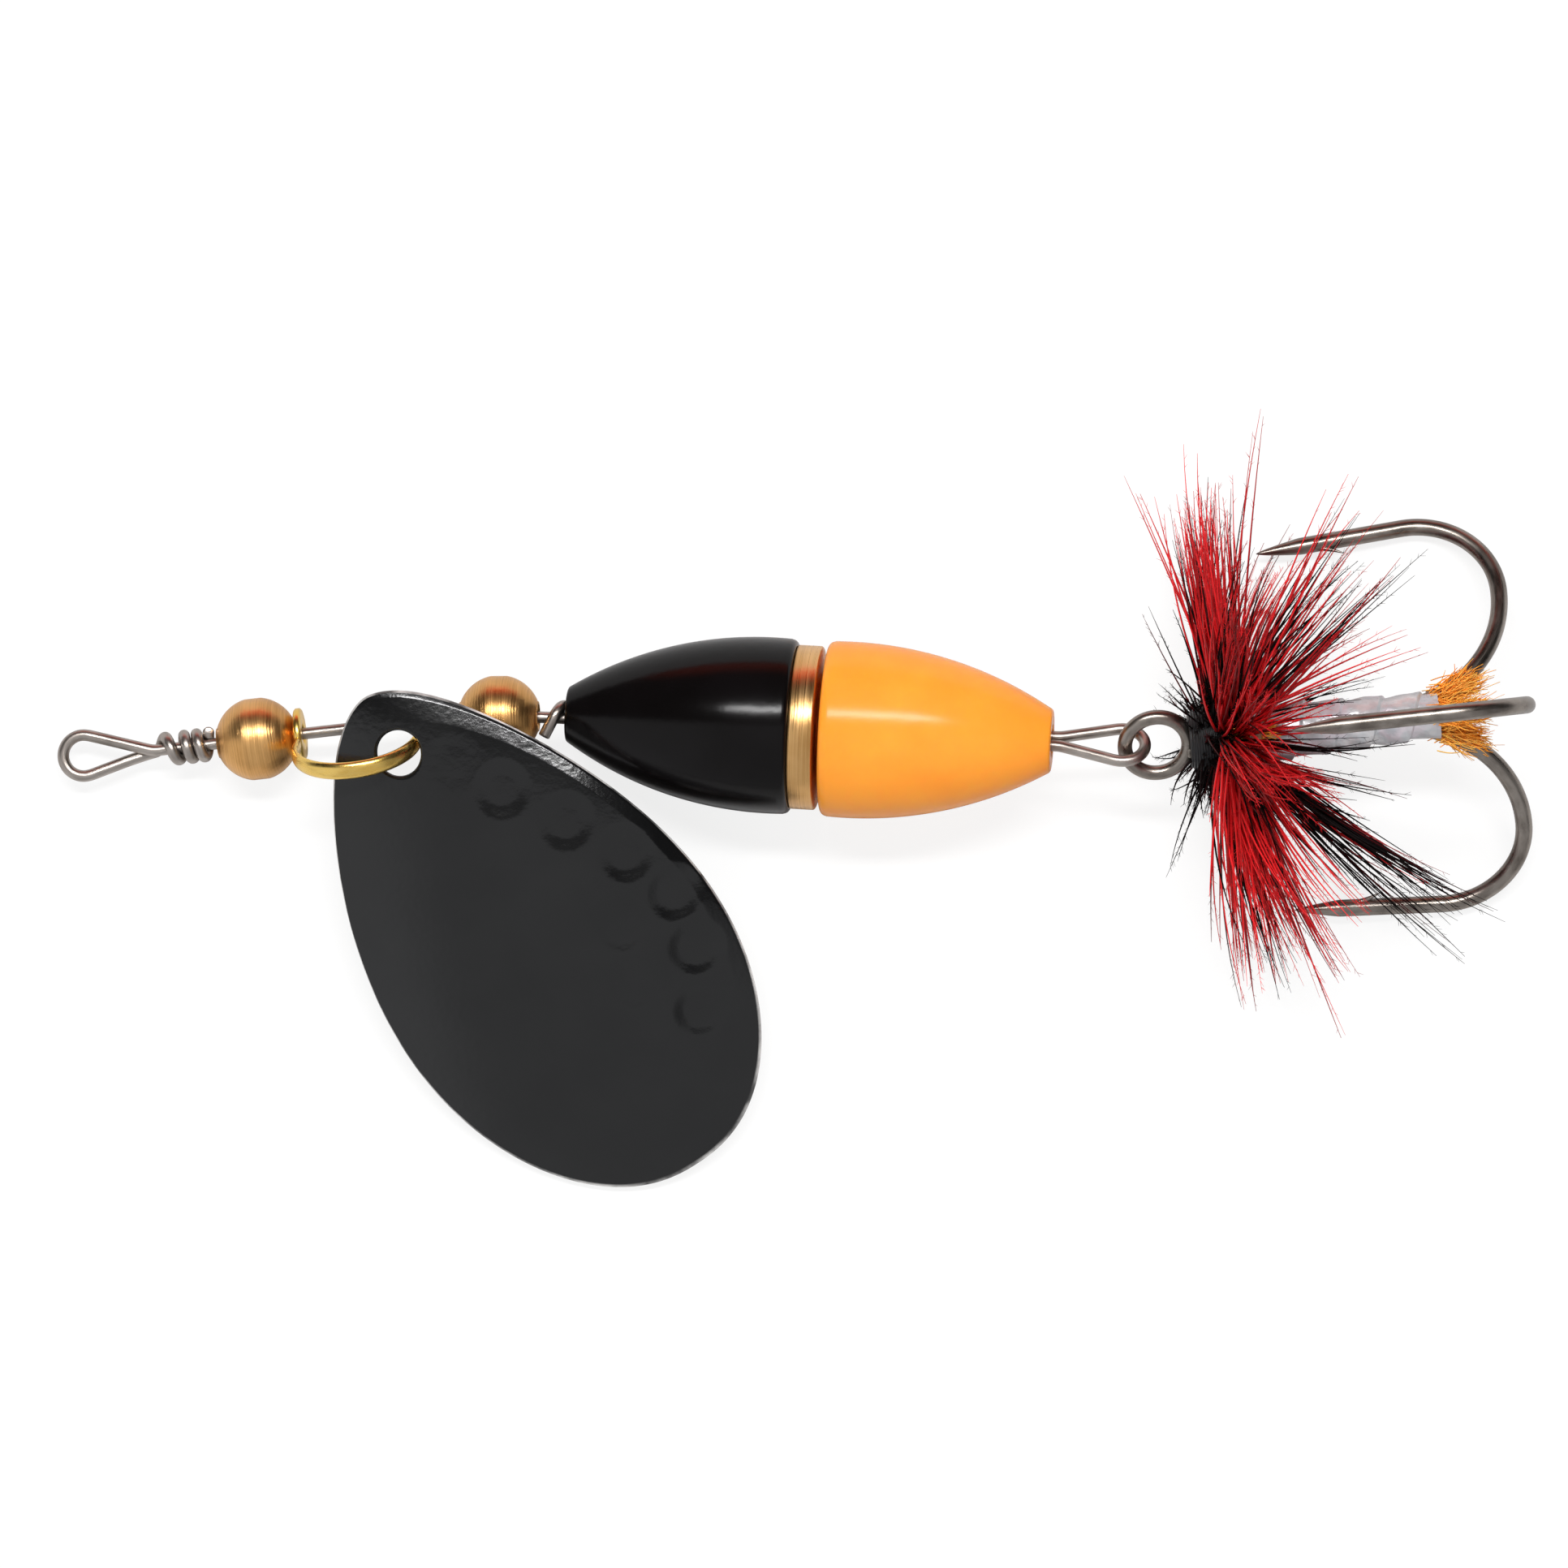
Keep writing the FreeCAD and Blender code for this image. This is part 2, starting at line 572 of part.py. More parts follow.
def blade():
    """Dished sheet: a padded outline shared with a thin ring-shaped dish, then holed and hammered."""
    body, sketch = new_body("blade_outline")
    start = -size("blade_hole_at")
    right = []
    left = []
    for index in range(1, OUTLINE_SAMPLES):
        share = (1 - math.cos(math.pi * index / OUTLINE_SAMPLES)) / 2
        along = start + share * size("blade_len")
        wide = blade_half_width(share)
        right.append(Vector(along, wide, 0))
        left.append(Vector(along, -wide, 0))
    ring_points = [Vector(start, 0, 0)] + right + [Vector(start + size("blade_len"), 0, 0)] + left[::-1]
    edge = Part.BSplineCurve()
    edge.interpolate(Points=ring_points, PeriodicFlag=True)
    sketch.addGeometry(edge, False)
    pad = body.newObject("PartDesign::Pad", "blade_blank")
    pad.Profile = sketch
    pad.setExpression("Length", "sizes.blade_width")
    pad.Midplane = True
    body.Tip = pad

    # The dish: a slice of a torus, bent to one radius along the blade and to another across it.
    middle = start + size("blade_crown") * size("blade_len")
    hole_dip = size("blade_cup_long") - math.sqrt(size("blade_cup_long") ** 2 - middle ** 2)
    major = "(sizes.blade_cup_long - sizes.blade_cup_cross)"
    centre_low = shift(middle, 0, hole_dip - size("blade_cup_long")) * turn(AXIS_X, 90)
    outside = ring("dish_outside", major, "sizes.blade_cup_cross + sizes.blade_thick / 2", centre_low)
    inside = ring("dish_inside", major, "sizes.blade_cup_cross - sizes.blade_thick / 2", centre_low)
    upper = doc.addObject("Part::Box", "dish_upper_side")
    upper.setExpression("Length", "sizes.blade_len * 2")
    upper.setExpression("Width", "sizes.blade_width * 2")
    upper.setExpression("Height", "sizes.blade_width")
    upper.Placement = shift(middle - size("blade_len"), -size("blade_width"), -size("blade_width") / 2)
    dish = common("dish", cut("dish_wall", outside, inside), upper)
    plate = common("blade_plate", body, dish)

    tools = [rod("blade_hole_cut", "sizes.blade_hole / 2", "sizes.blade_width",
                 shift(0, 0, -size("blade_width") / 2))]
    reach = size("dimple_dia") / 2
    depth = size("dimple_depth")
    hammer = (reach ** 2 + depth ** 2) / (2 * depth)
    for index, (along, across) in enumerate(dimple_places()):
        top = blade_height(along - middle, across) + hole_dip + size("blade_thick") / 2
        slope_x = (along - middle) / size("blade_cup_long")
        slope_y = across / size("blade_cup_cross")
        normal = Vector(slope_x, slope_y, 1).normalize()
        centre = Vector(along, across, top) + normal * (hammer - depth)
        hit = doc.addObject("Part::Sphere", f"hammer_{index}")
        hit.Radius = hammer
        hit.Placement = Placement(centre, Rotation())
        tools.append(hit)
    whole = cut("blade", plate, fuse("blade_tools", tools))
    whole.Placement = BLADE
    doc.recompute()
    return whole


def blade_height(along, across):
    """Height of the dish's middle surface at a place from its crown, with the crown at zero."""
    long_rad = size("blade_cup_long")
    cross_rad = size("blade_cup_cross")
    ring_out = cross_rad * math.cos(math.asin(across / cross_rad)) + long_rad - cross_rad
    return math.sqrt(ring_out ** 2 - along ** 2) - long_rad


def dimple_places():
    """Centres of the hammered recesses, in blade lengths and widths from the hole: one row follows
    the right edge and a second, shorter row lies inside it."""
    edge_row = [(0.066, 0.40), (0.150, 0.51), (0.258, 0.65), (0.364, 0.77),
                (0.470, 0.83), (0.570, 0.76), (0.666, 0.62), (0.766, 0.50)]
    inner_row = [(0.462, 0.49), (0.558, 0.36), (0.636, 0.15)]
    places = []
    for along_share, across_share in edge_row + inner_row:
        along = along_share * size("blade_len")
        share = (along + size("blade_hole_at")) / size("blade_len")
        places.append((along, across_share * blade_half_width(share)))
    return places


# ---------------------------------------------------------------- body

FRONT_SHELL = BODY_AXIS
FLANGE = BODY_AXIS * shift(size("front_shell_len"))
REAR_SHELL = BODY_AXIS * shift(BODY_LEN - size("rear_shell_len"))


def shell(end, place):
    """Ogive shell turned about X: an arc outside, a wire bore, and a pocket for the spigot. End is
    front or rear, and the narrow face points away from the flange."""
    length = f"sizes.{end}_shell_len"
    crest = f"sizes.{end}_crest"
    centre = f"sizes.shell_dia / 2 - sizes.{end}_arc"
    tip, rim, pocket_end = "0", length, f"{length} - sizes.pocket_len"
    if end == "rear":
        tip, rim, pocket_end = length, "0", "sizes.pocket_len"
    name = f"{end}_shell"
    corners = [
        (rim, f"sizes.{end}_rim"),
        (rim, f"sizes.{end}_pocket"),
        (pocket_end, f"sizes.{end}_pocket"),
        (pocket_end, "sizes.shell_bore / 2"),
        (tip, "sizes.shell_bore / 2"),
        (tip, f"sizes.{end}_shell_nose / 2"),
    ]
    body = turned(name, corners, {5: (crest, "sizes.shell_dia / 2", centre)})
    feature = body.Tip

    # Rounded outer edges at both ends.
    radii = (size(f"{end}_rim"), size(f"{end}_shell_nose") / 2)
    wanted = []
    for index, edge in enumerate(feature.Shape.Edges):
        if isinstance(edge.Curve, Part.Circle) and edge.Closed:
            if min(abs(edge.Curve.Radius - radius) for radius in radii) < NEAR:
                wanted.append(f"Edge{index + 1}")
    fillet = body.newObject("PartDesign::Fillet", name + "_edges")
    fillet.Base = (feature, wanted)
    fillet.setExpression("Radius", "sizes.shell_round")
    body.Tip = fillet
    body.Placement = place
    doc.recompute()
    return body


def body_core():
    """Turned brass weight: a flange between two spigots, bored for the doubled wire."""
    corners = [
        ("-sizes.spigot_len", "sizes.shell_bore / 2"),
        ("-sizes.spigot_len", "sizes.spigot_dia / 2"),
        ("0", "sizes.spigot_dia / 2"),
        ("0", "sizes.flange_dia / 2"),
        ("sizes.flange_len", "sizes.flange_dia / 2"),
        ("sizes.flange_len", "sizes.spigot_dia / 2"),
        ("sizes.flange_len + sizes.rear_gap + sizes.spigot_len", "sizes.spigot_dia / 2"),
        ("sizes.flange_len + sizes.rear_gap + sizes.spigot_len", "sizes.shell_bore / 2"),
    ]
    body = turned("body_core", corners)
    body.Placement = FLANGE
    return body


# ---------------------------------------------------------------- treble hook

HOOK_ANGLES = {"up": 90.0, "far": -30.0, "near": 210.0}


def hook_plane(angle):
    """Frame of one hook: +X along the shank, +Y outwards in the hook's own plane."""
    return HOOK * turn(AXIS_X, angle)


def one_hook(name, angle, start, inset):
    """Shank, round bend, spear, ground point and barb of one hook."""
    off = size("shank_off") - inset
    low_rad = size("bend_low_rad")
    high_rad = size("bend_high_rad")
    low_centre = Vector(size("shank_len"), off + low_rad, 0)
    blend = Vector(1, 0, 0)
    high_centre = low_centre + blend * (low_rad - high_rad)
    lean = math.radians(size("point_in"))
    spear_start = high_centre + Vector(-math.sin(lean), math.cos(lean), 0) * high_rad
    spear_way = Vector(-math.cos(lean), -math.sin(lean), 0)
    shaft_end = spear_start + spear_way * (size("point_len") - size("point_taper"))
    bend_start = Vector(size("shank_len"), off, 0)
    low_mid = low_centre + Vector(math.sqrt(0.5), -math.sqrt(0.5), 0) * low_rad
    join = low_centre + blend * low_rad
    half_turn = (math.pi / 2 + lean) / 2
    high_mid = high_centre + Vector(math.cos(half_turn), math.sin(half_turn), 0) * high_rad
    route = [
        Part.LineSegment(Vector(start, off, 0), bend_start),
        Part.Arc(bend_start, low_mid, join),
        Part.Arc(join, high_mid, spear_start),
        Part.LineSegment(spear_start, shaft_end),
    ]
    place = hook_plane(angle)
    wire = bent_wire(name + "_wire", route, "sizes.hook_wire / 2", place)

    point = doc.addObject("Part::Cone", name + "_point")
    point.setExpression("Radius1", "sizes.hook_wire / 2")
    point.setExpression("Radius2", "sizes.point_end")
    point.setExpression("Height", "sizes.point_taper")
    point.Placement = place * Placement(shaft_end, Rotation(AXIS_Z, spear_way))

    # The barb is a sliver raised from the side of the spear that faces the shank.
    lift = math.radians(size("barb_lift")) - lean
    barb_root = spear_start + spear_way * (size("point_len") - size("barb_at"))
    barb_way = Vector(math.cos(lift), -math.sin(lift), 0)
    barb = doc.addObject("Part::Cone", name + "_barb")
    barb.setExpression("Radius1", "sizes.barb_root")
    barb.setExpression("Radius2", "sizes.barb_end")
    barb.setExpression("Height", "sizes.barb_len")
    barb.Placement = place * Placement(barb_root, Rotation(AXIS_Z, barb_way))
    return [wire, point, barb]


def hook_double():
    """One wire: the eye and the two lower hooks."""
    eye_turn = turn(AXIS_X, size("ring_roll"))
    eye = ring("hook_eye", "sizes.ring_rad", "sizes.ring_wire / 2", HOOK * eye_turn)
    start = size("ring_rad")
    inset = size("shank_gap")
    pieces = [eye]
    for side in ("far", "near"):
        pieces += one_hook(f"hook_{side}", HOOK_ANGLES[side], start, inset)
    whole = fuse("hook_double", pieces)
    doc.recompute()
    return whole


def hook_single():
    """The third hook, brazed in the groove between the other two shanks."""
    start = size("ring_rad") + size("ring_wire") / 2 + size("shank_gap")
    whole = fuse("hook_single", one_hook("hook_up", HOOK_ANGLES["up"], start, 0))
    doc.recompute()
    return whole


# ---------------------------------------------------------------- dressing

def wound(name, start, length, front_dia, rear_dia):
    """Sleeve wound on the shanks. Start is behind the eye centre, the rest are expressions."""
    body = turned(name, [
        ("0", "sizes.wound_bore"),
        ("0", f"{front_dia} / 2"),
        (length, f"{rear_dia} / 2"),
        (length, "sizes.wound_bore"),
    ])
    body.Placement = HOOK * shift(start)
    doc.recompute()
    return body


CLUMPS = 12


def hackle(name, start, phase, table):
    """Clumps of fibres standing out from a wound quill, as slender cones. Those that point down
    end above the table that the lure rests on."""
    quill = wound(name + "_quill", start, "sizes.collar_len", "sizes.collar_dia", "sizes.collar_dia")
    pieces = [quill]
    low = HOOK.Base.z - table - size("rest_clear")
    middle = HOOK * shift(start + size("collar_len") / 2)
    root = size("collar_dia") / 2 - size("clump_sink")
    for index in range(CLUMPS):
        angle = phase + 360.0 * index / CLUMPS
        sink = max(0.0, -math.sin(math.radians(angle)))
        reach = size("fibre_reach")
        if sink * reach > low:
            reach = low / sink
        cone = doc.addObject("Part::Cone", f"{name}_clump_{index}")
        cone.setExpression("Radius1", "sizes.clump_base")
        cone.setExpression("Radius2", "sizes.clump_tip")
        cone.Height = reach - root
        cone.Placement = middle * turn(AXIS_X, angle - 90) * shift(0, 0, root)
        pieces.append(cone)
    whole = fuse(name, pieces)
    doc.recompute()
    return whole


def floss_tag():
    """Tufts of floss wound round the three bends, just behind the tinsel."""
    sleeves = []
    for side, angle in HOOK_ANGLES.items():
        inset = 0 if side == "up" else size("shank_gap")
        centre = Vector(size("shank_len"), size("shank_off") - inset + size("bend_low_rad"), 0)
        place = hook_plane(angle) * Placement(centre, Rotation(AXIS_Z, size("tag_first") - 90))
        outer = ring(f"tag_{side}_outside", "sizes.bend_low_rad", "sizes.tag_dia / 2", place)
        inner = ring(f"tag_{side}_inside", "sizes.bend_low_rad",
                     "sizes.hook_wire / 2 + sizes.dress_gap", place)
        outer.setExpression("Angle3", "sizes.tag_last - sizes.tag_first")
        inner.setExpression("Angle3", "sizes.tag_last - sizes.tag_first")
        sleeves.append(cut(f"tag_{side}", outer, inner))
    doc.recompute()
    whole = doc.addObject("Part::Compound", "floss_tag")
    whole.Links = sleeves
    doc.recompute()
    return whole


# ---------------------------------------------------------------- assembly and files

collars_start = size("head_start") + size("head_len")
floss_start = collars_start + 2 * size("collar_len")

NODES = {
    "shaft_wire": shaft_wire(),
    "front_bead": bead("front_bead", on_front(size("front_bead_at"))),
    "clevis": clevis(),
    "blade": blade(),
    "rear_bead": bead("rear_bead", on_bend(size("rear_bead_at"))),
    "front_shell": shell("front", FRONT_SHELL),
    "body_core": body_core(),
    "rear_shell": shell("rear", REAR_SHELL),
    "hook_double": hook_double(),
    "hook_single": hook_single(),
    "thread_head": wound("thread_head", size("head_start"), "sizes.head_len",
                         "sizes.head_dia", "sizes.head_dia"),
}

# The table lies under the lowest of the hard pieces.
table_height = min(item.Shape.optimalBoundingBox(False).ZMin for item in NODES.values())

NODES["hackle_black"] = hackle("hackle_black", collars_start, 15.0, table_height)
NODES["hackle_red"] = hackle("hackle_red", collars_start + size("collar_len"), 0.0, table_height)
NODES["floss_underbody"] = wound("floss_underbody", floss_start, "sizes.floss_len",
                                 "sizes.floss_dia", "sizes.floss_dia")
NODES["tinsel_wrap"] = wound("tinsel_wrap", floss_start + size("floss_len"), "sizes.tinsel_len",
                             "sizes.tinsel_big", "sizes.tinsel_small")
NODES["floss_tag"] = floss_tag()

doc.recompute()
for item in doc.Objects:
    if "Invalid" in item.State or "Error" in item.State:
        raise RuntimeError(f"{item.Name} failed: {item.State}")
for name, item in NODES.items():
    if item.Shape.isNull() or not item.Shape.isValid():
        raise RuntimeError(f"{name} has no valid shape")

os.makedirs("parts", exist_ok=True)
for name, item in NODES.items():
    item.Label = name
    item.Shape.exportStep(f"parts/{name}.step")
    box = item.Shape.optimalBoundingBox(False)
    print(f"{name:16s} solids {len(item.Shape.Solids)} volume {item.Shape.Volume:9.3f} "
          f"x {box.XMin:7.2f} {box.XMax:7.2f} y {box.YMin:7.2f} {box.YMax:7.2f} "
          f"z {box.ZMin:7.2f} {box.ZMax:7.2f}")
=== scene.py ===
import json
import math
from collections import namedtuple

import bpy
import numpy as np
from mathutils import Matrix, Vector

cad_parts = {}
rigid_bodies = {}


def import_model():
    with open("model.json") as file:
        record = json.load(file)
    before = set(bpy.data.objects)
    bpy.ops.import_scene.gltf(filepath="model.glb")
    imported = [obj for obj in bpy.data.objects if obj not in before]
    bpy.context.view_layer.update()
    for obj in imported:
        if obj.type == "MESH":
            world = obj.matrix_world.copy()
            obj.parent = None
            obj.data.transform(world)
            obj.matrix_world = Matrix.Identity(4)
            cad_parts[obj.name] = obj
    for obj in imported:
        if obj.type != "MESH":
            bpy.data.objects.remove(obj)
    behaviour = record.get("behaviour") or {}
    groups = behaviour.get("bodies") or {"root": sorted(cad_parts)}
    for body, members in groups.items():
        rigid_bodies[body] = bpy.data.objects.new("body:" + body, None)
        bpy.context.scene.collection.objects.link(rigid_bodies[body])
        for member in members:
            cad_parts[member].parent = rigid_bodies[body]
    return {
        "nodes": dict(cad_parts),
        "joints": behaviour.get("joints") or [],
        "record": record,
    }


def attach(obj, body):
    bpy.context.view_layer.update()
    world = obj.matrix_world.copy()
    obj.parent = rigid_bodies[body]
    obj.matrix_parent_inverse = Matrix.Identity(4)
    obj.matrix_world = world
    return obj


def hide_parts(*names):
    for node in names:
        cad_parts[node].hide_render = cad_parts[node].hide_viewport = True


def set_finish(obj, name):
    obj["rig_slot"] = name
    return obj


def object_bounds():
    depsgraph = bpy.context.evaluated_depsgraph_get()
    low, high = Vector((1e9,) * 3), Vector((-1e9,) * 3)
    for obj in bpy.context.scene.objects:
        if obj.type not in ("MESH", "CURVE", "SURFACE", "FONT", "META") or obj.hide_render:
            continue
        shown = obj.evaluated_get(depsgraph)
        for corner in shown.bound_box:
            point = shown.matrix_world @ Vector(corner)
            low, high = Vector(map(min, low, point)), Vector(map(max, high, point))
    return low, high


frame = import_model()
cad_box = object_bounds()

# ---------------------------------------------------------------- sizes, in millimetres

MM = 0.001

# The one wire. The pair is its two strands that run side by side through the body.
WIRE_DIA = 0.72
WRAP_PITCH = 0.80
WRAP_TURNS = 3.32
WRAP_FROM = -95.0        # where round the core the wraps' cut end is, in degrees
EYE_RAD = 1.28
FRONT_RUN = 15.0         # straight wire from the wraps to the gentle bend
LOOP_RAD = 1.40
LOOP_REACH = 4.30        # from the body's end to the loop's middle
LOOP_FLARE = 3.80        # from where the pair opens to the loop's middle
PAIR_HALF = 0.375        # half the distance between the strands' centre lines
LOOP_ROLL = -45.0        # turn of the pair's plane about the body, in degrees

BEAD_DIA = 5.1
BEAD_LEN = 4.85
BEAD_BORE = 0.90
BEAD_MOUTH = 0.80        # radius of the countersink at a bead's face
BEAD_FLAT = 0.05         # what the belt round the middle takes off the radius

CLEVIS_AT = 12.92        # along the straight front run
CLEVIS_SPAN = 7.5
CLEVIS_THICK = 0.42
CLEVIS_FOOT = 0.8        # where each leg starts in its ear, above the hole
EAR_RAD = 1.6
EAR_HOLE = 0.55          # radius
EAR_LIP = 0.09           # width of the eased edges

BLADE_LEN = 35.3
BLADE_WIDTH = 21.35
BLADE_THICK = 0.55
BLADE_CUP_LONG = 58.0    # radius of the dish along the blade, and then across it
BLADE_CUP_CROSS = 27.0
BLADE_HOLE = 3.0
BLADE_HOLE_AT = 3.7
BLADE_UP_BOW = 20.0      # how far round the clevis's bow the blade hangs, in degrees
BLADE_YAW = -54.13
BLADE_PITCH = 11.5
BLADE_ROLL = 10.5
HOLE_AHEAD = 0.80        # play of the hole about the strip
HOLE_ASIDE = 0.35

SHELL_RAD = 5.4
SHELL_BORE = 0.9         # radius
POCKET_LEN = 8.4         # depth of the socket that a shell has for the core's spigot
FRONT_SHELL_LEN = 14.0
FRONT_CREST = 12.5       # where a shell is widest, from its nose
REAR_SHELL_LEN = 13.95
REAR_CREST = REAR_SHELL_LEN - 1.5
REAR_GAP = 0.35
FLANGE_LEN = 1.55
FLANGE_RAD = 5.025
SPIGOT_RAD = 3.0
SPIGOT_LEN = 8.0

HOOK_WIRE = 1.05
RING_WIRE = 0.90
RING_RAD = 1.95
RING_ROLL = 30.0
RING_PLAY = 0.70         # from the joint's point to the ring's middle
HOOK_YAW = 6.2
SHANK_LEN = 14.2
BEND_LOW = 7.87          # radius of the first bend, and then of the tighter second one
BEND_HIGH = 5.0
POINT_LEN = 9.1
POINT_IN = 4.4           # lean of the spear towards the shank, in degrees
POINT_TAPER = 2.9        # length of the ground point
BARB_AT = 3.2            # from the point back to the barb's root
BARB_LEN = 2.1
SHANK_OFF = HOOK_WIRE / math.sqrt(3) + 0.01    # three shanks touch round the hook's axis
HOOK_ANGLES = {"up": 90.0, "far": -30.0, "near": 210.0}

# ---------------------------------------------------------------- frames

Frame = namedtuple("Frame", "origin basis")
JOINTS = {joint["name"]: joint for joint in frame["joints"]}


def unit(vectors):
    """Vectors along the last axis of an array, each brought to length one."""
    vectors = np.asarray(vectors, dtype=float)
    return vectors / np.linalg.norm(vectors, axis=-1, keepdims=True)


def joint_place(name):
    """A joint's point, in millimetres, and its axis."""
    joint = JOINTS[name]
    return np.array(joint["pos_m"], dtype=float) / MM, unit(joint["axis"])


def frame_from(origin, x_axis, z_hint):
    """Right-handed frame with a given X axis and Z as near as it can be to a hint."""
    x_axis = unit(x_axis)
    y_axis = unit(np.cross(z_hint, x_axis))
    z_axis = np.cross(x_axis, y_axis)
    return Frame(np.asarray(origin, dtype=float), np.stack([x_axis, y_axis, z_axis], axis=1))


def put(points, place):
    """Points of a local frame, carried into the row frame."""
    return place.origin + np.asarray(points, dtype=float) @ place.basis.T


def shifted(place, x, y=0.0):
    """The same frame, moved along its own X and Y axes."""
    return Frame(put([x, y, 0.0], place), place.basis)


def spun(place, axis, degrees):
    """The same frame, turned about one of its own axes."""
    angle = math.radians(degrees)
    c, s = math.cos(angle), math.sin(angle)
    turns = {
        "x": [[1, 0, 0], [0, c, -s], [0, s, c]],
        "y": [[c, 0, s], [0, 1, 0], [-s, 0, c]],
        "z": [[c, -s, 0], [s, c, 0], [0, 0, 1]],
    }
    return Frame(place.origin, place.basis @ np.array(turns[axis], dtype=float))


UP = np.array([0.0, 0.0, 1.0])
AHEAD = np.array([1.0, 0.0, 0.0])
CLEVIS_POINT, FRONT_AXIS = joint_place("clevis_spin")
BODY_POINT, REAR_AXIS = joint_place("body_spin")
LIE_NORMAL = unit(np.cross(REAR_AXIS, FRONT_AXIS))
FRONT = frame_from(CLEVIS_POINT - CLEVIS_AT * FRONT_AXIS, FRONT_AXIS, LIE_NORMAL)
BODY = shifted(frame_from(BODY_POINT, REAR_AXIS, LIE_NORMAL), -FRONT_SHELL_LEN)
PAIR = spun(BODY, "x", LOOP_ROLL)
MAIN_STRAND = shifted(PAIR, 0, -PAIR_HALF)
BODY_LEN = FRONT_SHELL_LEN + FLANGE_LEN + REAR_GAP + REAR_SHELL_LEN
BOW_POINT, SWING_AXIS = joint_place("blade_swing")
CLEVIS = frame_from(CLEVIS_POINT, FRONT_AXIS, np.cross(FRONT_AXIS, -SWING_AXIS))
CLEVIS_LEG = float(np.dot(BOW_POINT - CLEVIS_POINT, CLEVIS.basis[:, 2]))
NOSE_POINT = joint_place("hook_swing")[0]
HOOK = shifted(spun(Frame(NOSE_POINT, np.eye(3)), "z", HOOK_YAW), RING_PLAY)
FLOOR_Z = cad_box[0][2] / MM


# ---------------------------------------------------------------- meshes

def outward(points, faces):
    """Faces of a closed surface, turned so that the volume inside is positive: a sixth of the sum
    of a . (b x c) over its triangles a, b, c."""
    faces = np.asarray(faces, dtype=np.int32)
    corner = np.asarray(points, dtype=float)[faces]
    volume = np.sum(corner[:, 0] * np.cross(corner[:, 1], corner[:, 2]))
    if faces.shape[1] == 4:
        volume += np.sum(corner[:, 0] * np.cross(corner[:, 2], corner[:, 3]))
    return faces if volume > 0 else faces[:, ::-1]


def mesh_piece(name, points, faces, uv=None, tint=None):
    """One mesh object from points in millimetres and a face array, smooth shaded. uv holds one
    pair per point and tint one value per point, which materials read as the attribute "tint"."""
    mesh = bpy.data.meshes.new(name)
    faces = np.ascontiguousarray(outward(points, faces))
    mesh.vertices.add(len(points))
    mesh.vertices.foreach_set("co", (np.asarray(points) * MM).astype(np.float32).ravel())
    mesh.loops.add(faces.size)
    mesh.loops.foreach_set("vertex_index", faces.ravel())
    mesh.polygons.add(len(faces))
    mesh.polygons.foreach_set("loop_start", np.arange(0, faces.size, faces.shape[1], dtype=np.int32))
    mesh.polygons.foreach_set("use_smooth", np.ones(len(faces), dtype=bool))
    if uv is not None:
        layer = mesh.uv_layers.new(name="UVMap")
        layer.data.foreach_set("uv", np.asarray(uv, dtype=np.float32)[faces.ravel()].ravel())
    if tint is not None:
        values = mesh.attributes.new("tint", "FLOAT", "POINT")
        values.data.foreach_set("value", np.asarray(tint, dtype=np.float32))
    mesh.update(calc_edges=True)
    mesh.validate()
    piece = bpy.data.objects.new(name, mesh)
    bpy.context.scene.collection.objects.link(piece)
    return piece


def grid_faces(rows, columns, wrap_rows=False):
    """Quads of a grid of points kept row by row. Its columns are joined end to end, and its rows
    too where they wrap."""
    r, c = np.meshgrid(np.arange(rows if wrap_rows else rows - 1), np.arange(columns), indexing="ij")
    r_next = (r + 1) % rows
    c_next = (c + 1) % columns
    quads = np.stack([r * columns + c, r * columns + c_next,
                      r_next * columns + c_next, r_next * columns + c], axis=-1)
    return quads.reshape(-1, 4)


def travel(points):
    """Distance along a path at each of its points."""
    steps = np.linalg.norm(np.diff(points, axis=0), axis=1)
    return np.concatenate([[0.0], np.cumsum(steps)])


def resampled(points, step):
    """The same path with evenly spaced points."""
    along = travel(points)
    keep = np.concatenate([[True], np.diff(along) > 1e-9])
    points, along = points[keep], along[keep]
    count = max(2, int(round(along[-1] / step)) + 1)
    at = np.linspace(0, along[-1], count)
    return np.stack([np.interp(at, along, points[:, i]) for i in range(3)], axis=1)


def softened(points, width):
    """Path whose corners are eased by a running mean of a given width, with its ends kept."""
    points = resampled(points, width / 12)
    half = 6
    padded = np.concatenate([2 * points[:1] - points[half:0:-1], points,
                             2 * points[-1:] - points[-2:-half - 2:-1]])
    weights = np.hanning(2 * half + 3)[1:-1]
    weights = weights / weights.sum()
    return np.stack([np.convolve(padded[:, i], weights, mode="valid") for i in range(3)], axis=1)


def carried_axes(points):
    """Side directions of a path, carried along it without twist."""
    ahead = unit(np.gradient(points, axis=0))
    side = np.zeros_like(points)
    guess = UP if abs(ahead[0, 2]) < 0.8 else AHEAD
    for index in range(len(points)):
        guess = unit(guess - ahead[index] * np.dot(guess, ahead[index]))
        side[index] = guess
    return ahead, side, np.cross(ahead, side)


def triangles(quads):
    """Each quad as two triangles."""
    return np.concatenate([quads[:, [0, 1, 2]], quads[:, [0, 2, 3]]])


def sleeve_faces(rows, columns):
    """Triangles of a grid wrapped round a path, whose two ends are closed to the two points that
    follow the grid's own."""
    quads = grid_faces(rows, columns)[:, ::-1]
    ring = np.arange(columns)
    following = (ring + 1) % columns
    last = (rows - 1) * columns
    start = np.stack([np.full(columns, rows * columns), ring, following], axis=1)
    end = np.stack([np.full(columns, rows * columns + 1), last + following, last + ring], axis=1)
    return np.concatenate([triangles(quads), start, end])


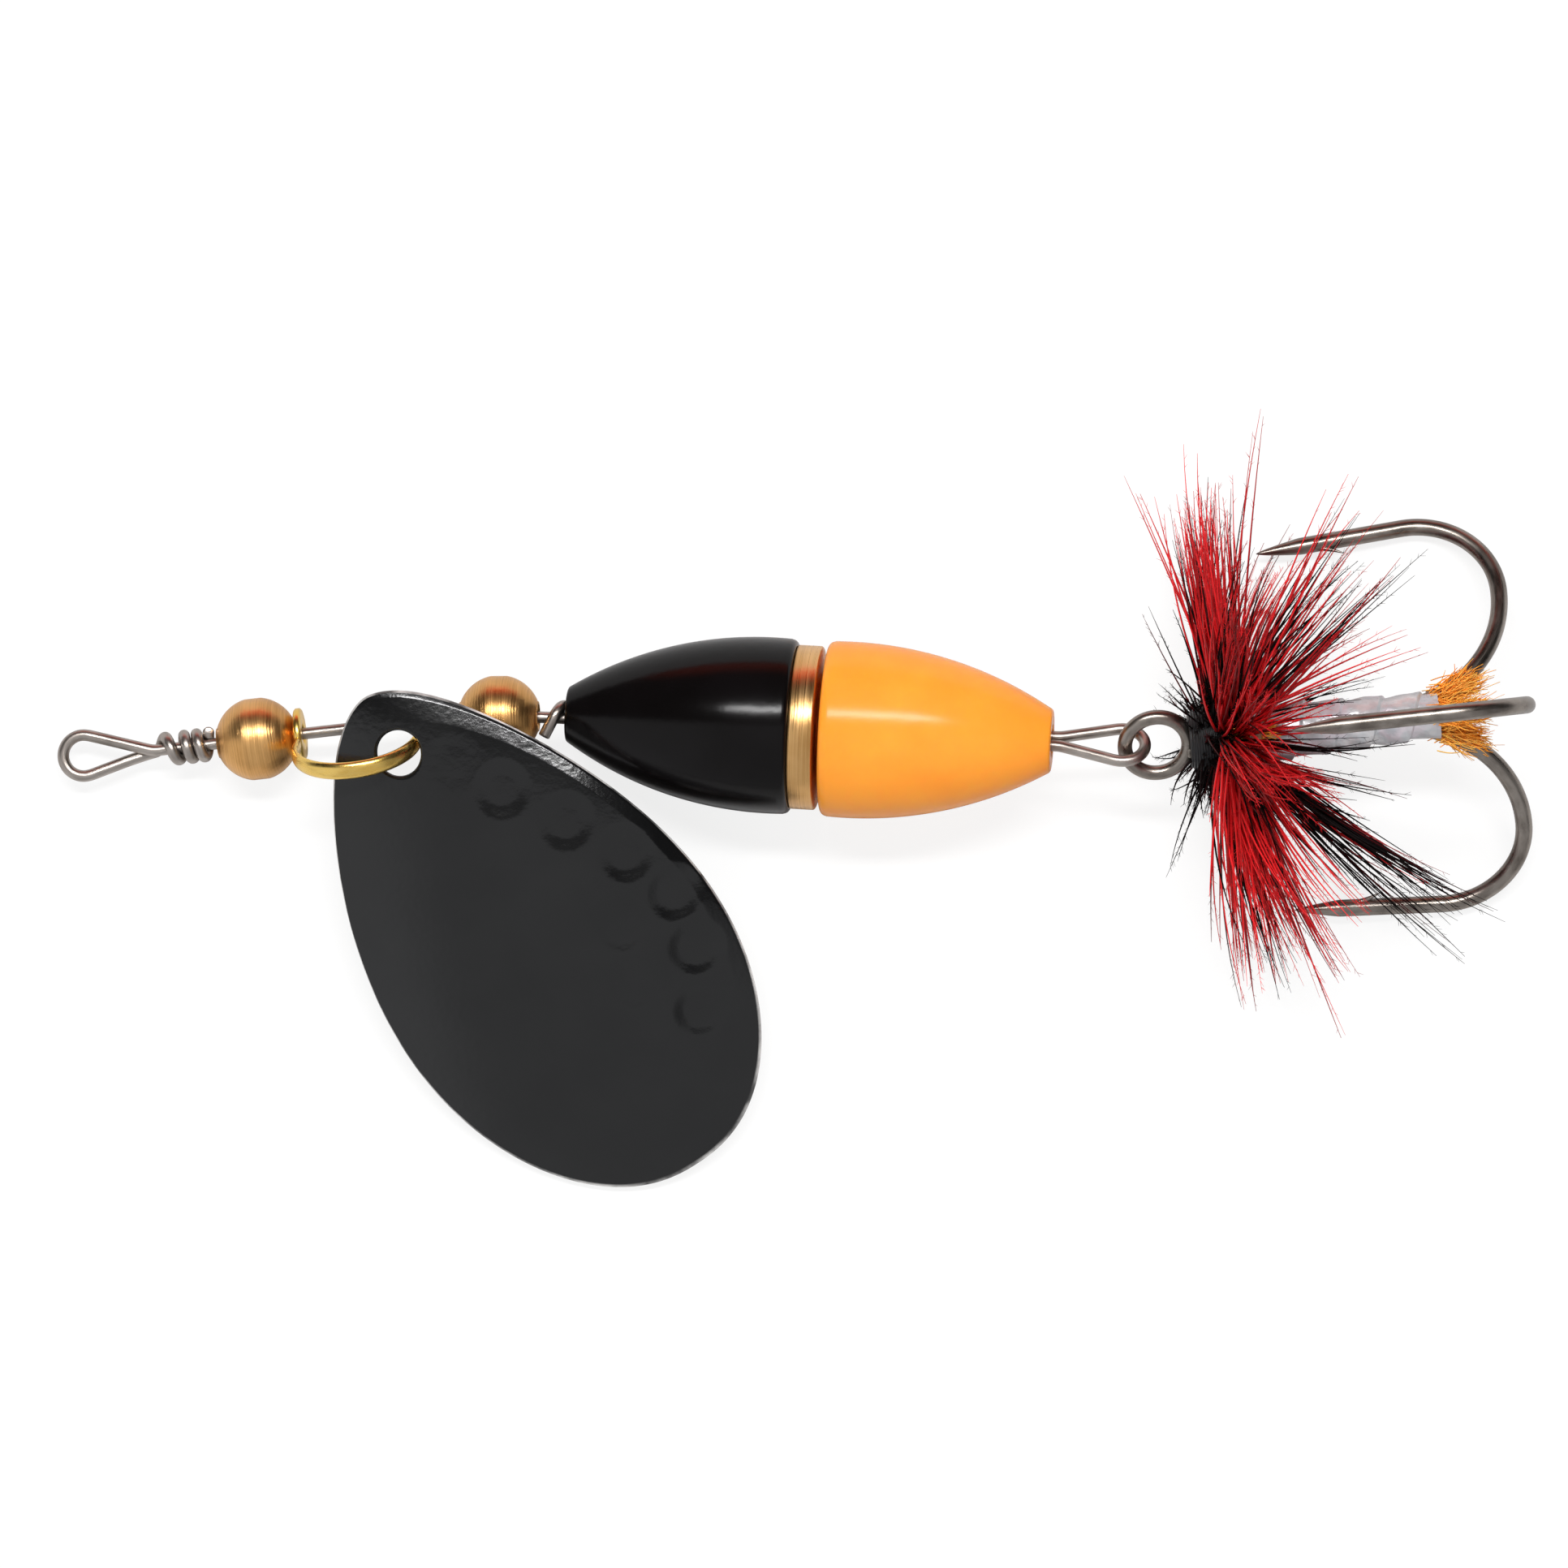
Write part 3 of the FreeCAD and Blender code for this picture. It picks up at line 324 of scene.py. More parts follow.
def tube_data(points, radius, sides):
    """Round tube carried along a path, as points, triangles and UV. The radius is one value or
    one per point. Each end is closed by a chamfer ring and a point at its centre."""
    ahead, side, other = carried_axes(points)
    radius = np.broadcast_to(np.asarray(radius, dtype=float), len(points)).copy()
    turn = np.linspace(0, 2 * math.pi, sides, endpoint=False)[None, :, None]
    offset = side[:, None, :] * np.cos(turn) + other[:, None, :] * np.sin(turn)
    rings = points[:, None, :] + offset * radius[:, None, None]
    lip = 0.12
    near = points[0] - ahead[0] * radius[0] * lip
    far = points[-1] + ahead[-1] * radius[-1] * lip
    first = near + offset[0] * radius[0] * (1 - lip)
    last = far + offset[-1] * radius[-1] * (1 - lip)
    body = np.concatenate([first[None], rings, last[None]])
    cloud = np.concatenate([body.reshape(-1, 3), [near, far]])
    along = travel(points)
    along = np.concatenate([[along[0]], along, [along[-1]]])
    around = np.tile(turn.ravel() / (2 * math.pi), len(body))
    uv = np.stack([np.repeat(along, sides), around], axis=1)
    uv = np.concatenate([uv, [[along[0], 0.5], [along[-1], 0.5]]])
    return cloud, sleeve_faces(len(body), sides), uv


def joined(parts):
    """Several closed (points, triangles, uv) groups as one."""
    clouds, faces, maps, total = [], [], [], 0
    for cloud, tris, uv in parts:
        clouds.append(cloud)
        faces.append(outward(cloud, tris) + total)
        maps.append(uv)
        total += len(cloud)
    return np.concatenate(clouds), np.concatenate(faces), np.concatenate(maps)


def turned_data(outline, segments, ripple=None):
    """Points and quads of a closed outline of (x, radius) pairs turned about the X axis. ripple
    adds to the radius, as a function of x, the turn and the outline's own radius."""
    outline = np.asarray(outline, dtype=float)
    turn = np.linspace(0, 2 * math.pi, segments, endpoint=False)
    x = outline[:, 0][:, None] + 0 * turn
    r = outline[:, 1][:, None] + 0 * turn
    if ripple is not None:
        r = r + ripple(x, turn[None, :] + 0 * x, r)
    points = np.stack([x, r * np.cos(turn), r * np.sin(turn)], axis=-1).reshape(-1, 3)
    return points, grid_faces(len(outline), segments, wrap_rows=True)


def turned_piece(name, outline, place, segments, ripple=None):
    """Closed outline turned about a frame's X axis. Its UV is the way along the outline, in
    millimetres, and the turn."""
    points, faces = turned_data(outline, segments, ripple)
    around = travel(np.asarray(outline, dtype=float))
    turn = np.linspace(0, 2 * math.pi, segments, endpoint=False)
    uv = np.stack([np.repeat(around, segments), np.tile(turn, len(outline))], axis=1)
    return mesh_piece(name, put(points, place), faces, uv)


def turn_path(centre, radius, start, end, step=0.05):
    """Arc in the XY plane, from one angle to another in degrees."""
    count = max(3, int(abs(math.radians(end - start)) * radius / step))
    angle = np.radians(np.linspace(start, end, count))
    return np.stack([centre[0] + radius * np.cos(angle), centre[1] + radius * np.sin(angle),
                     np.zeros(count)], axis=1)


# ---------------------------------------------------------------- shaft wire

def eye_path():
    """The wrap's cut end, its turns round the core, the lower leg, the teardrop eye and the way
    back to the core. The helix starts drawn out, by a lead that nears its full length as
    1 - e^(-9 t), because the leg comes in flat and turns steeper."""
    reach = np.linalg.norm(FRONT.origin)
    eye = frame_from(np.zeros(3), FRONT.origin, LIE_NORMAL)
    half = math.asin(EYE_RAD / reach)
    turns = np.linspace(0, 1, 260)
    swing = np.radians(WRAP_FROM + WRAP_TURNS * 360 * turns)
    lead = 0.95 * (1 - np.exp(-turns * 9))
    along = 0.25 + lead + WRAP_PITCH * 3.1 * np.maximum(turns - 0.05, 0)
    helix_rad = WIRE_DIA + 0.03
    helix = np.stack([along, helix_rad * np.cos(swing), helix_rad * np.sin(swing)], axis=1)

    # The lower leg dips under the core at the crossing.
    lower = np.array([[EYE_RAD * math.sin(half), -EYE_RAD * math.cos(half), 0],
                      [reach * 0.62, -reach * 0.38 * math.tan(half), -0.22],
                      [reach * 0.94, -0.12, -WIRE_DIA * 0.98]])
    opening = 90 - math.degrees(half)
    nose = turn_path((0, 0), EYE_RAD, -opening, opening - 360)
    teardrop = np.concatenate([lower[::-1], nose, [[reach, 0, 0]]])
    return np.concatenate([put(helix, FRONT)[::-1], put(teardrop, eye)])


def core_path(run_start, run_end):
    """The straight front run, the gentle bend and the first of the run into the body. The bend is
    the cubic that leaves along one axis and arrives along the other."""
    arrive = MAIN_STRAND.origin
    span = np.linalg.norm(arrive - run_end)
    t = np.linspace(0, 1, 40)[:, None]
    bend = ((2 * t ** 3 - 3 * t ** 2 + 1) * run_end + (t ** 3 - 2 * t ** 2 + t) * span * FRONT_AXIS
            + (-2 * t ** 3 + 3 * t ** 2) * arrive + (t ** 3 - t ** 2) * span * REAR_AXIS)
    inside = put([[1.0, 0, 0]], MAIN_STRAND)
    return np.concatenate([run_start + 0.02 * FRONT_AXIS[None], run_end[None], bend, inside])


def rear_path():
    """The loop in the plane of the pair, the tail back through the body, its climb round the main
    strand and its cut end across the top."""
    centre = BODY_LEN + LOOP_REACH
    flare = centre - LOOP_FLARE
    leg_slope = math.asin(LOOP_RAD / math.hypot(LOOP_FLARE, PAIR_HALF))
    leg_slope = leg_slope - math.atan(PAIR_HALF / LOOP_FLARE)
    opening = 90 + math.degrees(leg_slope)
    loop = turn_path((centre, 0), LOOP_RAD, -opening, opening)
    leg_in = np.array([[1.5, -PAIR_HALF, 0], [flare, -PAIR_HALF, 0]])
    leg_out = np.array([[flare, PAIR_HALF, 0], [0.6, PAIR_HALF, 0]])
    turns = np.linspace(0, 1, 40)
    swing = np.radians(LOOP_ROLL + 125 * turns)
    climb_rad = WIRE_DIA + 0.05
    climb = np.stack([0.1 - 0.75 * turns, climb_rad * np.cos(swing),
                      climb_rad * np.sin(swing)], axis=1)
    tail = np.concatenate([climb, [[-1.25, -1.15, 0.66]]])
    strand = Frame(MAIN_STRAND.origin, BODY.basis)
    return np.concatenate([put(np.concatenate([leg_in, loop, leg_out]), PAIR), put(tail, strand)])


def shaft_path():
    """Centre line of the one shaft wire, with its corners eased."""
    run_start, run_end = put([[1.5, 0, 0], [FRONT_RUN, 0, 0]], FRONT)
    eye_part = softened(np.concatenate([eye_path(), run_start[None]]), 1.0)
    rear_part = softened(rear_path(), 0.9)
    return resampled(np.concatenate([eye_part, core_path(run_start, run_end), rear_part]), 0.09)


def shaft_wire():
    """The shaft wire as one tube."""
    piece = mesh_piece("shaft_wire_bent", *tube_data(shaft_path(), WIRE_DIA / 2, sides=24))
    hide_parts("shaft_wire")
    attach(piece, "shaft")
    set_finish(piece, "spring_wire")


# ---------------------------------------------------------------- beads

def bead_outline():
    """Ball cut by two faces, with a rolled edge, a countersink in each face and a bore."""
    half = BEAD_LEN / 2
    ball = BEAD_DIA / 2
    edge = math.acos(half / ball)
    angle = np.linspace(edge + 0.06, math.pi - edge - 0.06, 60)
    around = np.minimum(ball * np.sin(angle), ball - BEAD_FLAT)
    outside = np.stack([ball * np.cos(angle), around], axis=1)
    bore = BEAD_BORE / 2
    front = np.array([[half - 0.6, bore], [half - 0.5, bore + 0.03],
                      [half - 0.06, BEAD_MOUTH - 0.06], [half, BEAD_MOUTH],
                      [half, BEAD_MOUTH + 0.12]])
    back = front[::-1] * (-1, 1)
    return np.concatenate([outside, back, front])


def bead(name, node, body, joint):
    """One turned brass bead on its joint's axis."""
    point, axis = joint_place(joint)
    piece = turned_piece(name, bead_outline(), frame_from(point, axis, UP), 128)
    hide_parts(node)
    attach(piece, body)
    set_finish(piece, "bead_brass")


# ---------------------------------------------------------------- clevis

def clevis_strip():
    """The strip as points, triangles and UV. Its centre line is two straight legs and a half-round
    bow. Its half width is 0.55 - 0.12 w^2.2, where w is the share of the way from the bow's top to
    the hole. Its section is an ellipse, flatter inside and crowned outside except near the ears."""
    rad = CLEVIS_SPAN / 2
    leg = np.linspace(CLEVIS_FOOT, CLEVIS_LEG, 30)[:-1]
    bow = np.linspace(math.pi, 0, 90)
    x = np.concatenate([np.full(29, -rad), rad * np.cos(bow), np.full(29, rad)])
    z = np.concatenate([leg, CLEVIS_LEG + rad * np.sin(bow), leg[::-1]])
    path = np.stack([x, 0 * x, z], axis=1)
    along = travel(path)
    share = np.abs(along - along[-1] / 2) / (math.pi * rad / 2 + CLEVIS_LEG)
    half_width = 0.55 - 0.12 * share ** 2.2
    crown = 0.9 + 0.6 * np.clip((z - 1.3) / 1.2, 0, 1)
    ahead = unit(np.gradient(path, axis=0))
    outside = np.stack([-ahead[:, 2], 0 * x, ahead[:, 0]], axis=1)
    turn = np.linspace(0, 2 * math.pi, 28, endpoint=False)
    wide, deep = np.cos(turn), np.sin(turn)
    deep = np.where(deep > 0, deep * crown[:, None], -0.9 * np.abs(deep) ** 0.8) * CLEVIS_THICK / 2
    points = path[:, None, :] + outside[:, None, :] * deep[..., None]
    points[..., 1] += half_width[:, None] * wide
    rows, columns = deep.shape
    cloud = np.concatenate([points.reshape(-1, 3), path[:1], path[-1:]])
    uv = np.stack([np.repeat(along, columns), np.tile(turn, rows)], axis=1)
    uv = np.concatenate([uv, [[0, 0], [along[-1], 0]]])
    return cloud, sleeve_faces(rows, columns), uv


def clevis_ear(x):
    """A drilled round ear with eased edges, turned about the shaft at a place along it."""
    half = CLEVIS_THICK / 2
    side = np.array([[half - EAR_LIP, EAR_HOLE], [half, EAR_HOLE + EAR_LIP],
                     [half, EAR_RAD - EAR_LIP], [half - EAR_LIP, EAR_RAD]])
    points, quads = turned_data(np.concatenate([side, side[::-1] * (-1, 1)]) + (x, 0), 72)
    return points, triangles(quads), np.zeros((len(points), 2))


def clevis():
    """Folded strip with an ear at the foot of each leg."""
    rad = CLEVIS_SPAN / 2
    cloud, faces, uv = joined([clevis_strip(), clevis_ear(-rad), clevis_ear(rad)])
    piece = mesh_piece("clevis_folded", put(cloud, CLEVIS), faces, uv)
    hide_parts("clevis")
    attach(piece, "clevis")
    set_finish(piece, "clevis_brass")


# ---------------------------------------------------------------- blade

OUTLINE_SKEW = 1.314     # moves the widest place to the far end
OUTLINE_FULL = 0.437     # the lower, the fuller both ends
RECESS_RAD = 1.95
RECESS_WALL = 1.10       # width of the wall round a recess's floor
RECESS_DEPTH = 0.115
RECESS_DEEPER = 0.145    # what the furthest recesses have on top of that
RECESS_FROM = 9.0        # where they start to get deeper
RECESS_RUN = 14.5        # and the run to the full depth
FAINT_SHARE = 0.25
ROLL_WIDE = 1.7
ROLL_SLOPE = 0.055
ROLL_MORE = 0.060
LIP_WIDE = 0.28
LIP_SLOPE = 0.21
ROLL_EASE = 0.10

# Each recess's place, as shares of the blade's length from the hole and of the half width there.
EDGE_ROW = [(0.066, 0.40), (0.150, 0.51), (0.258, 0.65), (0.364, 0.77),
            (0.470, 0.83), (0.570, 0.76), (0.666, 0.62), (0.766, 0.50)]
INNER_ROW = [(0.462, 0.49), (0.558, 0.36), (0.636, 0.15)]
FAINT_ONES = [EDGE_ROW[0], EDGE_ROW[-1], INNER_ROW[-1]]


def blade_half_width(share):
    """Half the blade's width at a share s of its length: sin(pi s^OUTLINE_SKEW)^OUTLINE_FULL."""
    arch = np.sin(math.pi * np.clip(share, 0, 1) ** OUTLINE_SKEW)
    return BLADE_WIDTH / 2 * arch ** OUTLINE_FULL


def dish_height(along, across):
    """Height of the dished sheet: one radius along it, another across it, zero at its crown."""
    ring_out = np.sqrt(BLADE_CUP_CROSS ** 2 - across ** 2) + BLADE_CUP_LONG - BLADE_CUP_CROSS
    return np.sqrt(ring_out ** 2 - along ** 2) - BLADE_CUP_LONG


def hammered(along, across):
    """Depth of the hammered recesses, in a row along one edge and a short second row. Each has a
    flat floor and a wall that follows the smooth step 3 w^2 - 2 w^3 of the way w down it, and
    they deepen towards the far end, as the 1.5th power of the way there."""
    depth = np.zeros_like(along)
    for recess in EDGE_ROW + INNER_ROW:
        x = recess[0] * BLADE_LEN
        y = recess[1] * blade_half_width((x + BLADE_HOLE_AT) / BLADE_LEN)
        away = np.hypot(along - x, across - y)
        wall = np.clip((RECESS_RAD - away) / RECESS_WALL, 0, 1)
        further = np.clip((x - RECESS_FROM) / RECESS_RUN, 0, 1)
        deepest = RECESS_DEPTH + RECESS_DEEPER * further ** 1.5
        if recess in FAINT_ONES:
            deepest = deepest * FAINT_SHARE
        depth = np.maximum(depth, deepest * wall * wall * (3 - 2 * wall))
    return depth


def edge_roll(along, across, from_edge):
    """How far the sheet turns down along its upper edge, in a broad roll and a narrow lip. Each
    falls by slope i^2 / (i + ROLL_EASE) at a way i into it: gently first, then at its slope. Both
    fade out towards the far end, and the roll is steeper from 4 to 14 mm beyond the hole."""
    upper = 0.5 + 0.5 * np.tanh((across - 1.0) / 1.6)
    fading = np.clip((26 - along) / 9, 0, 1)
    steeper = ROLL_SLOPE + ROLL_MORE * np.clip((along - 4) / 10, 0, 1)
    rolled = 0
    for reach, slope in ((ROLL_WIDE, steeper), (LIP_WIDE, LIP_SLOPE)):
        inside = np.clip(reach - from_edge, 0, reach)
        rolled = rolled + slope * inside ** 2 / (inside + ROLL_EASE) * upper * fading
    return rolled


def blade_plan():
    """Plan of the blade on rays from the hole's edge to the outline: each point's place along and
    across the blade, and its distance from the outline."""
    share = (1 - np.cos(np.linspace(0, math.pi, 1200))) / 2
    half = blade_half_width(share)
    x = share * BLADE_LEN - BLADE_HOLE_AT
    edge = np.concatenate([np.stack([x, half, 0 * x], axis=1),
                           np.stack([x, -half, 0 * x], axis=1)[-2::-1]])
    edge = resampled(edge, travel(edge)[-1] / 450)[:-1, :2]
    hole = unit(edge) * BLADE_HOLE / 2
    ray = np.linspace(0, 1, 150)[:, None]
    plan = hole * (1 - ray[..., None]) + edge * ray[..., None]
    return plan[..., 0], plan[..., 1], (1 - ray) * np.linalg.norm(edge - hole, axis=1)


def blade_frame():
    """The blade's own frame: the middle of its hole, +X to the far end, +Z on the domed side."""
    bow = spun(Frame(BOW_POINT, CLEVIS.basis), "y", -BLADE_UP_BOW)
    strip = put([CLEVIS_SPAN / 2, 0, 0], bow)
    flat = Frame(strip - np.array([HOLE_AHEAD, HOLE_ASIDE, 0]), np.eye(3))
    return spun(spun(spun(flat, "z", BLADE_YAW), "y", BLADE_PITCH), "x", BLADE_ROLL)


def round_edge(skin, normal, row, inner_row):
    """Half circle from the domed skin to the hollow one, past one row of the sheet's middle."""
    away = skin[row] - skin[inner_row]
    away = unit(away - normal[row] * np.sum(away * normal[row], axis=-1, keepdims=True))
    bend = np.radians([60, 30, 0, -30, -60])[:, None, None]
    half = BLADE_THICK / 2
    return skin[row] + away * half * 0.55 * np.cos(bend) + normal[row] * half * np.sin(bend)


def blade():
    """Dished, hammered sheet: a domed skin and a hollow one on the same rays, which meet in round
    edges at the outline and the hole. Its tint is one on the outline's edge, which the finish paints
    pale: partly bare metal, partly a painted highlight."""
    along, across, from_edge = blade_plan()
    middle = 0.55 * BLADE_LEN - BLADE_HOLE_AT
    height = dish_height(along - middle, across) - dish_height(middle, 0)
    height = height - hammered(along, across) - edge_roll(along, across, from_edge)
    normal = unit(np.stack([(along - middle) / BLADE_CUP_LONG, across / BLADE_CUP_CROSS,
                            np.ones_like(along)], axis=-1))
    skin = np.stack([along, across, height], axis=-1)
    top = skin + normal * BLADE_THICK / 2
    under = skin - normal * BLADE_THICK / 2
    outer = round_edge(skin, normal, -1, -2)
    inner = round_edge(skin, normal, 0, 1)[::-1]
    thinned = np.unique(np.linspace(0, len(under) - 1, 50).astype(int))
    rows = np.concatenate([top, outer, under[thinned][::-1], inner])
    faces = grid_faces(len(rows), rows.shape[1], wrap_rows=True)
    # The outline's round edge gets the pale rim colour: partly bare metal, partly a painted highlight.
    rim_bare_and_highlight = np.zeros(rows.shape[:2])
    rim_bare_and_highlight[len(top) - 1:len(top) + len(outer)] = 1.0
    cloud = rows.reshape(-1, 3)
    uv = cloud[:, :2] / BLADE_LEN
    piece = mesh_piece("blade_hammered", put(cloud, blade_frame()), faces, uv, rim_bare_and_highlight.ravel())
    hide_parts("blade")
    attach(piece, "blade")
    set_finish(piece, "blade_black")


# ---------------------------------------------------------------- body

def fillet_arc(corner, radius, start, end):
    """Small round corner of an outline."""
    angle = np.radians(np.linspace(start, end, 8))
    return np.stack([corner[0] + radius * np.cos(angle), corner[1] + radius * np.sin(angle)], axis=1)


def ogive(length, nose_rad, crest):
    """Shell profile from the nose face at zero to the rim at its length: one arc that reaches the
    widest radius at the crest."""
    drop = SHELL_RAD - nose_rad
    arc = (drop ** 2 + crest ** 2) / (2 * drop)
    x = np.linspace(0, length, 70)
    return x, SHELL_RAD - arc + np.sqrt(arc ** 2 - (x - crest) ** 2)


def shell_outline(length, nose_rad, crest, pocket_rad):
    """Closed outline of a shell: arc outside, rounded rim and nose, pocket and bore inside."""
    rim_ease, nose_ease = 0.38, 0.30
    x, r = ogive(length, nose_rad, crest)
    keep = (x > nose_ease + 0.02) & (x < length - rim_ease)
    rim = fillet_arc((length - rim_ease, r[-1] - rim_ease), rim_ease, 84, 0)
    nose = fillet_arc((nose_ease, r[0] - 0.16), nose_ease, 180, 122)
    outside = np.stack([x[keep], r[keep]], axis=1)
    floor = length - POCKET_LEN
    inside = np.array([[length, pocket_rad + 0.15], [length - 0.15, pocket_rad],
                       [floor, pocket_rad], [floor, SHELL_BORE], [0.22, SHELL_BORE],
                       [0.04, SHELL_BORE + 0.1], [0.0, SHELL_BORE + 0.2]])
    return np.concatenate([nose, outside, rim, inside])[::-1]


def front_shell():
    """Glossy black shell, its nose towards the blade."""
    outline = shell_outline(FRONT_SHELL_LEN, nose_rad=1.65, crest=FRONT_CREST, pocket_rad=3.03)
    piece = turned_piece("front_shell_gloss", outline, BODY, 180)
    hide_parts("front_shell")
    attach(piece, "body")
    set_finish(piece, "shell_black")


def rear_shell():
    """Glossy orange shell, its nose towards the hook."""
    outline = shell_outline(REAR_SHELL_LEN, nose_rad=1.9, crest=REAR_CREST, pocket_rad=3.08)
    outline = (outline * (-1, 1) + (BODY_LEN, 0))[::-1]
    piece = turned_piece("rear_shell_gloss", outline, BODY, 180)
    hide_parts("rear_shell")
    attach(piece, "rear_shell")
    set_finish(piece, "shell_orange")


def body_core():
    """Turned brass weight: a flange with eased edges between two spigots."""
    start = FRONT_SHELL_LEN
    end = start + FLANGE_LEN
    ease = 0.12
    front, back = start - SPIGOT_LEN, end + SPIGOT_LEN + 0.3
    outline = np.array([
        [front, SHELL_BORE], [front, SPIGOT_RAD], [start, SPIGOT_RAD], [start, FLANGE_RAD - ease],
        [start + ease * 0.4, FLANGE_RAD - ease * 0.3], [start + ease, FLANGE_RAD],
        [end - ease, FLANGE_RAD], [end - ease * 0.4, FLANGE_RAD - ease * 0.3],
        [end, FLANGE_RAD - ease], [end, SPIGOT_RAD + 0.6], [end + 0.1, SPIGOT_RAD],
        [back, SPIGOT_RAD], [back, SHELL_BORE]])[::-1]
    piece = turned_piece("body_core_turned", outline, BODY, 180)
    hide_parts("body_core")
    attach(piece, "body")
    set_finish(piece, "core_brass")


# ---------------------------------------------------------------- treble hook

def hook_path(offset, start):
    """Shank, first bend, tighter second bend and spear of a hook, in its own XY plane."""
    low = np.array([SHANK_LEN, offset + BEND_LOW])
    high = low + np.array([BEND_LOW - BEND_HIGH, 0])
    lean = math.radians(POINT_IN)
    spear = high + BEND_HIGH * np.array([-math.sin(lean), math.cos(lean)])
    tip = spear + POINT_LEN * np.array([-math.cos(lean), -math.sin(lean)])
    shank = np.linspace([start, offset, 0], [SHANK_LEN, offset, 0], 60)
    first = turn_path(low, BEND_LOW, -90, 0, 0.15)
    second = turn_path(high, BEND_HIGH, 0, 90 + POINT_IN, 0.15)
    run = np.linspace([*spear, 0], [*tip, 0], 60)
    return resampled(np.concatenate([shank, first, second, run]), 0.12)


def hook_parts(angle, offset, start):
    """Wire with a ground point, and the barb raised behind the point: a thin wedge that springs
    from the inner side of the spear and points backwards."""
    place = spun(HOOK, "x", angle)
    path = hook_path(offset, start)
    along = travel(path)
    left = along[-1] - along
    radius = HOOK_WIRE / 2 * np.minimum(1, (left / POINT_TAPER) ** 0.72 + 0.04)
    lean = math.radians(POINT_IN)
    away = np.array([math.cos(lean), math.sin(lean), 0])
    inward = np.array([math.sin(lean), -math.cos(lean), 0])
    t = np.linspace(0, 1, 14)[:, None]
    root = path[-1] + away * BARB_AT + inward * 0.20
    spine = root + away * BARB_LEN * t + inward * (0.30 * t + 0.52 * t ** 2)
    thick = 0.26 * (1 - t[:, 0]) ** 0.8 + 0.02
    return [tube_data(put(path, place), radius, 20), tube_data(put(spine, place), thick, 10)]


def hook_ring():
    """The closed eye of the treble, a ring of round wire: points, triangles and UV."""
    turn = np.linspace(0, 2 * math.pi, 96, endpoint=False)[:, None]
    section = np.linspace(0, 2 * math.pi, 24, endpoint=False)[None, :]
    reach = RING_RAD + RING_WIRE / 2 * np.cos(section)
    rise = RING_WIRE / 2 * np.sin(section)
    points = np.stack([reach * np.cos(turn), reach * np.sin(turn), rise + 0 * turn], axis=-1)
    uv = np.stack([turn * RING_RAD + 0 * section, section / (2 * math.pi) + 0 * turn], axis=-1)
    faces = triangles(grid_faces(96, 24, wrap_rows=True))
    return put(points.reshape(-1, 3), spun(HOOK, "x", RING_ROLL)), faces, uv.reshape(-1, 2)


def hook_double():
    """Eye and two lower hooks of one wire."""
    parts = [hook_ring()]
    for side in ("far", "near"):
        parts += hook_parts(HOOK_ANGLES[side], SHANK_OFF - 0.02, RING_RAD - 0.1)
    piece = mesh_piece("hook_double_wire", *joined(parts))
    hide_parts("hook_double")
    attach(piece, "hook")
    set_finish(piece, "hook_bronze")


def hook_single():
    """The third hook."""
    parts = hook_parts(HOOK_ANGLES["up"], SHANK_OFF, RING_RAD + RING_WIRE / 2)
    piece = mesh_piece("hook_single_wire", *joined(parts))
    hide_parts("hook_single")
    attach(piece, "hook")
    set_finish(piece, "hook_bronze")


# ---------------------------------------------------------------- dressing

HEAD_FROM = 2.0          # the thread head's ends along the shank
HEAD_TO = 4.4
THREAD_PITCH = 0.16
TINSEL_START = 5.6
TINSEL_END = 17.3
TAPE_PITCH = 2.35
LAP_STEP = 0.22          # how far one lap stands over the next
LAP_EDGE = 0.07          # share of a lap in which its edge falls
CLUMPING = 0.62
LEAN_MORE = 3.0
FIBRE_POINTS = 12
HAIRS_EACH = 12
RNG = np.random.default_rng(11)


def thread_head():
    """Black thread wound in close turns behind the eye, as ridges on a rounded barrel."""
    core = 1.1
    x = np.linspace(HEAD_FROM, HEAD_TO, 90)
    barrel = 1.15 + 0.95 * np.sin(math.pi * (x - 1.7) / 3.1) ** 0.6
    outline = np.concatenate([np.stack([x, barrel], axis=1), [[HEAD_TO, core], [HEAD_FROM, core]]])

    def ridges(across, turn, radius):
        thread = 0.035 * np.cos(2 * math.pi * across / THREAD_PITCH + turn)
        return np.where(radius > core + 0.02, thread, 0.0)

    piece = turned_piece("thread_head_wound", outline[::-1], HOOK, 96, ridges)
    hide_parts("thread_head")
    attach(piece, "hook")
    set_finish(piece, "thread_black")


def tinsel():
    """Flat tape wound round the shanks. Its radius climbs along a lap's way u, as u, and falls back
    over the last of it, as (1 - u) / LAP_EDGE; the laps follow a helix and thin towards the bends."""
    x = np.linspace(TINSEL_START, TINSEL_END, 420)
    wound = 1.78 - 0.42 * (x - TINSEL_START) / (TINSEL_END - TINSEL_START)
    core = [[TINSEL_END, 1.0], [TINSEL_START, 1.1]]
    outline = np.concatenate([np.stack([x, wound], axis=1), core])

    def laps(across, turn, radius):
        lap = (across / TAPE_PITCH + turn / (2 * math.pi)) % 1.0
        step = LAP_STEP * (np.minimum(lap, (1 - lap) / LAP_EDGE) - 0.5)
        dents = 0.035 * np.sin(3 * turn + 2.1 * across) + 0.025 * np.sin(5 * turn - 3.3 * across)
        return np.where(radius > 1.15, step + dents, 0.0)

    piece = turned_piece("tinsel_wound", outline[::-1], HOOK, 120, laps)
    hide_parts("tinsel_wrap")
    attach(piece, "hook")
    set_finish(piece, "tinsel_silver")


